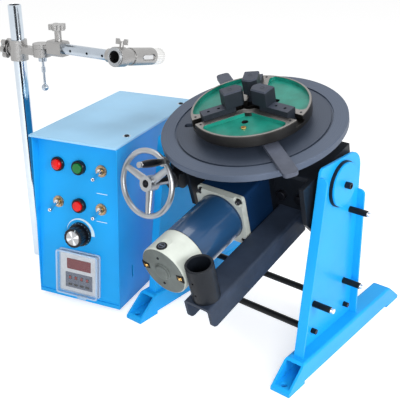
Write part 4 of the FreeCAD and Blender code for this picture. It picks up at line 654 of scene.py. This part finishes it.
def motor_details():
    """Screws, brush caps and terminals of the gearmotor."""
    low, high = local_box("motor_flange", TILT)
    middle = (low + high) / 2
    seat = low.y + 6 * MM
    reach = middle.x - low.x - 8.5 * MM

    def flange_screws(work):
        for x in (-reach, reach):
            for z in (-reach, reach):
                matrix = looking(TILT, (middle.x + x, seat, middle.z + z), (0, -1, 0))
                washer(work, matrix, 6.2 * MM, 3.0 * MM, 1.0 * MM)
                screw_head(work, matrix, 4.6 * MM, 6.0 * MM, cross_shape(2.8 * MM, 0.7 * MM), 3 * MM, 1 * MM)
    piece("motor_flange_screws", flange_screws, "black_oxide", "cradle")

    cap_low, cap_high = local_box("motor_end_cap", TILT)
    axis = (cap_low.z + cap_high.z) / 2
    face = looking(TILT, (0, CAP_FACE, axis), (0, -1, 0))
    right = face.inverted().to_3x3() @ TILT.col[0].to_3d()
    face = face @ Matrix.Rotation(math.atan2(right.y, right.x), 4, "Z")

    def end_screws(work):
        for angle in (98, 262):
            a = math.radians(angle)
            spot = face @ Matrix.Translation((26 * MM * math.cos(a), 26 * MM * math.sin(a), 0))
            screw_head(work, spot, 2.4 * MM, 0.9 * MM, hexagon(1.3 * MM), 0.7 * MM)
    piece("end_cap_screws", end_screws, "black_oxide", "cradle")

    # Dark arcs on the cap face at its side recesses: painted shade.
    def recess_painted_shade(work):
        for middle in (0, 180):
            flat_ring(work, face, 42.5 * MM, 28 * MM, -1 * MM, 0.35 * MM, middle - 10, middle + 10, 12)
    piece("end_cap_recess_painted_shade", recess_painted_shade, "hollow_painted_shade", "cradle")

    def terminals(work):
        for side in (-1, 1):
            spot = face @ Matrix.Translation((side * 35 * MM, 0, 0.2 * MM))
            plate(work, spot, (0, 0), 8.0 * MM, 4.6 * MM, 0.8 * MM, 0, 0.9 * MM)
            slot_screw(work, spot, 2.7 * MM, 2.4 * MM)
    piece("end_cap_terminals", terminals, "brass", "cradle")

    def boss_ring(work):
        turned_shape(work, face, [(15.2 * MM, -1 * MM), (15.2 * MM, 1.2 * MM), (13.4 * MM, 2.2 * MM),
                                  (12.9 * MM, 0.5 * MM)], close_start=False, close_end=False)
    piece("end_cap_boss_ring", boss_ring, "end_cap", "cradle")

    def brush_frame(side):
        rise = (cap_high.z - axis) * side
        return looking(TILT, (0, CAP_FACE + 11 * MM, axis + rise), (0, 0, side))

    def brush_caps(work):
        for side in (-1, 1):
            matrix = brush_frame(side) @ Matrix.Translation((0, 0, -1.5 * MM))
            turned_shape(work, matrix, [(8.6 * MM, -1 * MM), (8.6 * MM, 2.0 * MM), (7.9 * MM, 2.8 * MM),
                                        (7.3 * MM, 2.8 * MM), (7.1 * MM, 1.9 * MM), (6.7 * MM, 1.9 * MM),
                                        (6.6 * MM, 2.6 * MM), (2.5 * MM, 2.7 * MM)])
    piece("brush_caps", brush_caps, "black_plastic", "cradle", sharp=25)

    def brush_slots(work):
        for side in (-1, 1):
            plate(work, brush_frame(side), (0, 0), 8.5 * MM, 1.7 * MM, 0.6 * MM, 0.9 * MM, 1.45 * MM)
            flat_ring(work, brush_frame(side), 5.6 * MM, 4.9 * MM, 0.9 * MM, 1.45 * MM)
    piece("brush_cap_marks", brush_slots, "grey_plastic", "cradle")

    def seams(work):
        for y, radius in ((local_box("motor_body", TILT)[0].y, 43.6 * MM),
                          (local_box("motor_body", TILT)[1].y - 3 * MM, 43.4 * MM)):
            spot = looking(TILT, (0, y, axis), (0, 1, 0))
            flat_ring(work, spot, radius, 42 * MM, 0, 0.9 * MM, steps=72)
    piece("motor_seams", seams, "black_oxide", "cradle")


def chuck_details():
    """Plug, painted shade in the holes, and screws in the chuck's face."""
    floor_z = CHUCK_RISE - 7 * MM

    def spot(radius, degrees, height):
        a = math.radians(ARM_ANGLE + degrees)
        return TILT @ Matrix.Translation((radius * math.cos(a), radius * math.sin(a), height))

    def plugs(work):
        slot_screw(work, spot(63 * MM, -61.5, floor_z), 4.4 * MM, 2.2 * MM)
    piece("chuck_plug", plugs, "brass", "table")

    def hole_painted_shade(work):
        # Dark cups in the face's holes: painted shade of the holes.
        for i in range(3):
            matrix = spot(44 * MM, -64 + 120 * i, floor_z)
            turned_shape(work, matrix, [(5.3 * MM, -6 * MM), (5.3 * MM, 0.15 * MM), (4.9 * MM, 0.15 * MM),
                                        (4.6 * MM, -5 * MM)])
    piece("chuck_hole_painted_shade", hole_painted_shade, "hollow_painted_shade", "table")

    def slot_ends(work):
        for i in range(3):
            for side in (-1, 1):
                matrix = spot(91.5 * MM, 120 * i, CHUCK_RISE)
                moved = matrix @ Matrix.Rotation(math.radians(ARM_ANGLE + 120 * i), 4, "Z")
                socket_screw(work, moved @ Matrix.Translation((0, side * 14.0 * MM, 0)), 1.9 * MM, 0.5 * MM)
    piece("chuck_rim_screws", slot_ends, "black_oxide", "table")


def jaw_details():
    """Seat ring of the socket screw that holds each top jaw on its base jaw."""
    for i in (1, 2, 3):
        angle = math.radians(ARM_ANGLE + 120 * (i - 1))
        top_low, top_high = local_box("top_jaw_%d" % i, TILT @ Matrix.Rotation(angle, 4, "Z"))

        def screws(work, angle=angle, top_low=top_low, top_high=top_high):
            middle = (top_low + top_high) / 2
            matrix = TILT @ Matrix.Rotation(angle, 4, "Z") @ Matrix.Translation(
                (middle.x + 3 * MM, middle.y, top_high.z))
            flat_ring(work, matrix, 3.6 * MM, 2.9 * MM, -0.3 * MM, 0.15 * MM)
        piece("top_jaw_screw_seat_%d" % i, screws, "black_oxide", "jaw_%d" % i)


def panel_details():
    """Bezels, switch nuts, the knob's scale and cap, and the timer's face."""
    front = local_box("front_panel", PANEL)[0].y
    flat = looking(PANEL, (0, front, 0), (0, -1, 0))
    side = flat.inverted().to_3x3() @ PANEL.col[0].to_3d()
    flat = flat @ Matrix.Rotation(math.atan2(side.y, side.x), 4, "Z")

    def on_panel(name):
        low, high = local_box(name, PANEL)
        middle = (low + high) / 2
        return flat @ Matrix.Translation((middle.x, middle.z, 0))

    def bezel(work, name, reach, inner):
        outer = inner + 3.4 * MM
        turned_shape(work, on_panel(name), [
            (outer, 0), (outer, reach - 1.2 * MM), (outer - 0.9 * MM, reach), (inner + 0.6 * MM, reach),
            (inner, reach - 0.8 * MM), (inner, 1 * MM)])

    def bezels(work):
        bezel(work, "pilot_lamp", 6.0 * MM, 10.3 * MM)
        for name in ("green_button", "red_button"):
            bezel(work, name, 9.0 * MM, 10.3 * MM)
    piece("button_bezels", bezels, "black_plastic", "frame")

    toggles = []
    for i in (1, 2, 3):
        low, high = local_box("toggle_%d" % i, PANEL)
        toggles.append(flat @ Matrix.Translation(((low.x + high.x) / 2, high.z - 4.2 * MM, 0)))

    def nuts(work):
        for matrix in toggles:
            washer(work, matrix, 11.4 * MM, 6.0 * MM, 1.0 * MM)
            seat = matrix @ Matrix.Rotation(math.radians(12), 4, "Z") @ Matrix.Translation((0, 0, 1.0 * MM))
            hexagon_nut(work, seat, 9.3 * MM, 5.9 * MM, 3.2 * MM)
    piece("toggle_nuts", nuts, "bronze", "frame")

    def threads(work):
        for matrix in toggles:
            thread(work, matrix @ Matrix.Translation((0, 0, 4.0 * MM)), 6.35 * MM, 3.9 * MM, 1.0 * MM, 6)
    piece("toggle_threads", threads, "brass", "frame")

    def collars(work):
        for matrix in toggles:
            turned_shape(work, matrix, [(5.2 * MM, 7.6 * MM), (5.2 * MM, 8.6 * MM), (4.6 * MM, 9.0 * MM),
                                        (3.9 * MM, 9.0 * MM), (3.5 * MM, 8.2 * MM)])
    piece("toggle_collars", collars, "chrome", "frame")

    knob = on_panel("speed_knob")

    def scale(work):
        def inside(degrees):
            return (31.5 - 7.0 * ((170 - degrees) / 170) ** 1.3) * MM - 0.7 * MM
        flat_ring(work, knob, 31.5 * MM, inside, 0, 0.25 * MM, 0, 170, 48)
    piece("knob_scale", scale, "white_ink", "frame", bevel=0.0001)

    def marks(work):
        low, high = local_box("toggle_3", PANEL)
        middle_x, middle_z = (low.x + high.x) / 2, high.z - 4.2 * MM
        for rise in (30 * MM, -25 * MM):
            plate(work, flat, (middle_x + 1 * MM, middle_z + rise), 23 * MM, 1.3 * MM, 0.5 * MM, 0, 0.2 * MM)
    piece("switch_marks", marks, "white_ink", "frame")

    reach = front - local_box("speed_knob", PANEL)[0].y

    def cap(work):
        turned_shape(work, knob, [(14.2 * MM, reach - 1 * MM), (14.2 * MM, reach + 0.5 * MM),
                                  (13.2 * MM, reach + 1.4 * MM), (12.4 * MM, reach + 1.2 * MM),
                                  (3.0 * MM, reach + 1.0 * MM)])
    piece("knob_cap", cap, "spun_aluminium", "speed_knob", sharp=25)

    def pointer(work):
        turn = knob @ Matrix.Rotation(math.radians(72), 4, "Z")
        plate(work, turn, (16.3 * MM, 0), 4.2 * MM, 1.2 * MM, 0.4 * MM, reach - 0.5 * MM, reach + 0.25 * MM)
        for degrees in range(-126, 127, 18):
            turn = knob @ Matrix.Rotation(math.radians(72 + degrees), 4, "Z")
            plate(work, turn, (22.4 * MM, 0), 2.2 * MM, 0.6 * MM, 0.2 * MM, 6.5 * MM, 7.25 * MM)
    piece("knob_marks", pointer, "white_ink", "speed_knob")

    body = on_panel("timer_body")
    face = front - local_box("timer_body", PANEL)[0].y

    def timer_face(work):
        plate(work, body, (0, 0), 83 * MM, 81 * MM, 3 * MM, face - 1 * MM, face + 0.8 * MM)
    piece("timer_face", timer_face, "white_plastic", "frame", bevel=0.0006)

    def display(work):
        plate(work, body, (0, 17 * MM), 54 * MM, 22 * MM, 1.0 * MM, face, face + 1.2 * MM)
    piece("timer_display", display, "display_red", "frame", bevel=0.0003)

    def keypad(work):
        plate(work, body, (0, -17 * MM), 61 * MM, 32 * MM, 1.0 * MM, face, face + 1.3 * MM)
    piece("timer_keypad", keypad, "grey_plastic", "frame", bevel=0.0003)

    def digits(work):
        for column in range(4):
            x = (column - 1.5) * 13.0 * MM
            plate(work, body, (x, -11.5 * MM), 6.5 * MM, 8.0 * MM, 1.0 * MM, face + 1.0 * MM, face + 1.7 * MM)
            plate(work, body, (x, -26 * MM), 9.0 * MM, 4.5 * MM, 0.8 * MM, face + 1.0 * MM, face + 2.1 * MM)
    piece("timer_keys", digits, "black_plastic", "frame", bevel=0.0003)

    def windows(work):
        for column in range(4):
            x = (column - 1.5) * 13.0 * MM
            flat_ring(work, body @ Matrix.Translation((x, -11.5 * MM, 0)), 2.3 * MM, 1.5 * MM,
                      face + 1.2 * MM, face + 1.85 * MM, 30, 330, 16)
    piece("timer_key_marks", windows, "red_plastic", "frame")

    low, high = local_box("timer_cover", PANEL)
    cover = on_panel("timer_cover")
    width, height = high.x - low.x, high.z - low.z
    rise = front - low.y

    # Rim of the clear cover, in the edge material with its painted highlight.
    def cover_edge(work):
        outer = rounded_outline(width + 0.4 * MM, height + 0.4 * MM, 5 * MM)
        inner = rounded_outline(width - 5 * MM, height - 5 * MM, 3 * MM)
        for low_z, high_z in ((rise - 2.6 * MM, rise + 0.3 * MM), (1.0 * MM, 3.2 * MM)):
            rings = [[work.verts.new(cover @ Vector((x, y, z))) for x, y in line]
                     for line, z in ((outer, low_z), (outer, high_z), (inner, high_z), (inner, low_z))]
            loft(work, rings + [rings[0]], False, False)
    piece("timer_cover_edge", cover_edge, "clear_edge_painted_highlight", "timer_cover", bevel=0.0004)

    def cover_tab(work):
        plate(work, cover, (12 * MM, -height / 2 - 1.0 * MM), 20 * MM, 6 * MM, 1.5 * MM, rise - 6 * MM, rise)
    piece("timer_cover_tab", cover_tab, "clear_edge_painted_highlight", "timer_cover", bevel=0.0006)


def box_details():
    """Cover screws in their dimples."""
    low, high = local_box("box_cover", BOX)

    def screws(work):
        for y in (66 * MM, 296 * MM):
            matrix = BOX @ Matrix.Translation((high.x - 15 * MM, low.y + y, high.z))
            turned = matrix @ Matrix.Rotation(math.radians(20), 4, "Z")
            cross_screw(work, turned, 4.6 * MM, 2.0 * MM)
    piece("cover_screws", screws, "black_oxide", "frame")

    def dimples(work):
        for y in (66 * MM, 296 * MM):
            matrix = BOX @ Matrix.Translation((high.x - 15 * MM, low.y + y, high.z))
            flat_ring(work, matrix, 7.2 * MM, 5.9 * MM, -0.5 * MM, 0.35 * MM)
    piece("cover_screw_cups", dimples, "chrome", "frame")


def wheel_details():
    """Hub nut of the handwheel and the end cap of its grip."""
    low, high = local_box("handle_grip", WORM)
    middle = (low + high) / 2

    def grip_cap(work):
        matrix = looking(WORM, (middle.x, low.y, middle.z), (0, -1, 0))
        turned_shape(work, matrix, [(4.8 * MM, -2 * MM), (5.0 * MM, 0.4 * MM), (4.0 * MM, 1.8 * MM),
                                    (1.6 * MM, 2.4 * MM)], 32)
    piece("grip_end_cap", grip_cap, "chrome", "handle_grip", sharp=50)

    def hub_nut(work):
        matrix = looking(WORM, (0, local_box("worm_shaft", WORM)[0].y, 0), (0, -1, 0))
        hexagon_nut(work, matrix @ Matrix.Translation((0, 0, -1 * MM)), 6.2 * MM, 3.4 * MM, 4.5 * MM)
        thread(work, matrix, 3.4 * MM, 5.0 * MM, 1.0 * MM)
    piece("hub_nut", hub_nut, "black_oxide", "handwheel")


def torch_details():
    """Knurled end, rim rings, painted shade in the bore and window plate of the torch holder."""
    mount = mounts["torch_ring"]
    axis = Vector(mount["axis"])
    length = mount["dims"]["length_mm"] * MM
    front = Vector(mount["pos_m"]) + axis * length / 2
    holder = place(front, Vector((0, 0, 1)).cross(axis), axis)

    def knurl(work):
        def grooves(angle):
            return (15.1 + 0.55 * math.cos(24 * angle)) * MM
        back = -length
        heights = ((back - 0.3 * MM, 14.4 * MM), (back + 0.7 * MM, grooves), (back + 27 * MM, grooves),
                   (back + 28 * MM, 14.4 * MM))
        rings = [ring_of_points(work, holder, radius, height, 192) for height, radius in heights]
        ends = (heights[-1][0], heights[0][0])
        inner = [ring_of_points(work, holder, 11.4 * MM, height, 192) for height in ends]
        loft(work, rings + inner + [rings[0]], False, False)
    piece("torch_end_grip", knurl, "white_metal", "torch_clamp", sharp=60)

    def rim_rings(work):
        flat_ring(work, holder, 16.8 * MM, 12.6 * MM, 0, 1.3 * MM, steps=60)
        flat_ring(work, holder, 14.2 * MM, 11.1 * MM, 0, 2.4 * MM, steps=60)
    piece("torch_rim_rings", rim_rings, "cast_chrome", "torch_clamp", bevel=0.0004)

    # Dark sleeve inside the holder's bore: painted shade of the bore.
    def bore_painted_shade(work):
        turned_shape(work, holder, [(10.98 * MM, 0.2 * MM), (10.9 * MM, 0.2 * MM), (10.7 * MM, -30 * MM),
                                    (10.98 * MM, -30 * MM)], close_start=False, close_end=False)
    piece("torch_bore_painted_shade", bore_painted_shade, "hollow_painted_shade", "torch_clamp")

    def window_plate(work):
        middle = -(12 + 72) * MM
        base = holder @ place((13.7 * MM, 0, middle), (0, 0, 1), (1, 0, 0))
        outline = [(-16 * MM, -4 * MM), (12 * MM, -4 * MM), (17 * MM, 0), (12 * MM, 4 * MM),
                   (-16 * MM, 4 * MM)]
        outline_solid(work, base, outline, -0.4 * MM, 0.9 * MM)
    piece("torch_window_plate", window_plate, "chrome", "torch_clamp", bevel=0.0004)


finish_nodes()
standoff_threads()
motor_details()
chuck_details()
jaw_details()
panel_details()
box_details()
wheel_details()
torch_details()


# ---- studio ----------------------------------------------------------------------------
LENS_MM = 63.62
SENSOR_MM = 36.0
CAMERA_PLACE = (0.65054, -0.98856, 0.75221)
CAMERA_TURN = (math.radians(66.03), 0.0, math.radians(39.53))
WORLD_LEVEL = 0.46
FLOOR_GLOW = 0.60       # only for rays that see the floor, so that it nears the white of the background
FLOOR_DROP = 0.0005
CARD_DISTANCE = 0.45
CARD_HEIGHT = 0.7
CARD_CORNER = 0.01
CARD_THICK = 0.01


def camera():
    data = bpy.data.cameras.new("camera")
    data.lens = LENS_MM
    data.sensor_width = SENSOR_MM
    data.sensor_fit = "HORIZONTAL"
    item = bpy.data.objects.new("camera", data)
    item.location = CAMERA_PLACE
    item.rotation_euler = CAMERA_TURN
    bpy.context.scene.collection.objects.link(item)
    bpy.context.scene.camera = item


def area_light(name, location, target, size, power):
    data = bpy.data.lights.new(name, "AREA")
    data.shape = "DISK"
    data.size = size
    data.energy = power
    item = bpy.data.objects.new(name, data)
    item.location = location
    direction = Vector(target) - Vector(location)
    item.rotation_euler = direction.to_track_quat("-Z", "Y").to_euler()
    bpy.context.scene.collection.objects.link(item)


def seen_or_mirrored(tree):
    """1 for rays from the camera, from a mirror and through glass."""
    path = tree.nodes.new("ShaderNodeLightPath")
    total = path.outputs["Is Camera Ray"]
    for name in ("Is Glossy Ray", "Is Transmission Ray"):
        both = tree.nodes.new("ShaderNodeMath")
        both.operation = "MAXIMUM"
        tree.links.new(total, both.inputs[0])
        tree.links.new(path.outputs[name], both.inputs[1])
        total = both.outputs[0]
    return total


def world(strength):
    data = bpy.data.worlds.new("studio")
    bpy.context.scene.world = data
    data.use_nodes = True
    tree = data.node_tree
    background = tree.nodes["Background"]
    background.inputs["Color"].default_value = (1, 1, 1, 1)
    level = tree.nodes.new("ShaderNodeMapRange")
    level.inputs["To Min"].default_value = strength
    level.inputs["To Max"].default_value = 1.0
    tree.links.new(seen_or_mirrored(tree), level.inputs["Value"])
    tree.links.new(level.outputs[0], background.inputs["Strength"])


def stage_item(name, look_name, mesh_maker):
    """Object of the studio, with a plain material, and that material's node tree."""
    mesh = bpy.data.meshes.new(name)
    work = bmesh.new()
    mesh_maker(work)
    work.to_mesh(mesh)
    work.free()
    item = bpy.data.objects.new(name, mesh)
    bpy.context.scene.collection.objects.link(item)
    look = bpy.data.materials.new(look_name)
    look.use_nodes = True
    mesh.materials.append(look)
    return item, look.node_tree


def floor():
    def square(work):
        bmesh.ops.create_grid(work, x_segments=1, y_segments=1, size=4.0)
    item, tree = stage_item("floor", "floor_white", square)
    item.location = (0, 0, -FLOOR_DROP)
    shader = tree.nodes["Principled BSDF"]
    shader.inputs["Base Color"].default_value = (0.80, 0.80, 0.80, 1)
    shader.inputs["Roughness"].default_value = 0.9
    shader.inputs["Specular IOR Level"].default_value = 0.0
    shader.inputs["Emission Color"].default_value = (1, 1, 1, 1)
    glow = tree.nodes.new("ShaderNodeMath")
    glow.operation = "MULTIPLY"
    glow.inputs[1].default_value = FLOOR_GLOW
    tree.links.new(seen_or_mirrored(tree), glow.inputs[0])
    tree.links.new(glow.outputs[0], shader.inputs["Emission Strength"])


def dark_card(name, middle, facing, width, height):
    """Black card that only reflections show, so that polished metal has a dark stripe."""
    def card(work):
        seat = looking(Matrix.Identity(4), middle, facing)
        outline_solid(work, seat, rounded_outline(width, height, CARD_CORNER), 0, CARD_THICK)
    item, tree = stage_item(name, name, card)
    tree.nodes["Principled BSDF"].inputs["Base Color"].default_value = (0.01, 0.01, 0.012, 1)
    item.visible_camera = False
    item.visible_diffuse = False
    item.visible_shadow = False
    item.visible_transmission = False


def studio():
    camera()
    world(WORLD_LEVEL)
    area_light("key", (1.8, -0.3, 1.1), (0, 0, 0.2), 0.7, 20)
    area_light("front", (1.0, -1.45, 0.7), (-0.25, 0, 0.15), 0.8, 19)
    area_light("top", (-0.2, 0.1, 1.9), (0, 0, 0.2), 1.0, 9)
    floor()
    pole_low, pole_high = local_box("stand_pole", Matrix.Identity(4))
    middle = (pole_low + pole_high) / 2
    middle.z = CARD_HEIGHT
    toward = (bpy.context.scene.camera.location - middle) * Vector((1, 1, 0))
    dark_card("dark_card", middle + toward.normalized() * CARD_DISTANCE, -toward, 0.30, 1.4)
    bpy.context.scene.view_settings.view_transform = "Standard"


studio()
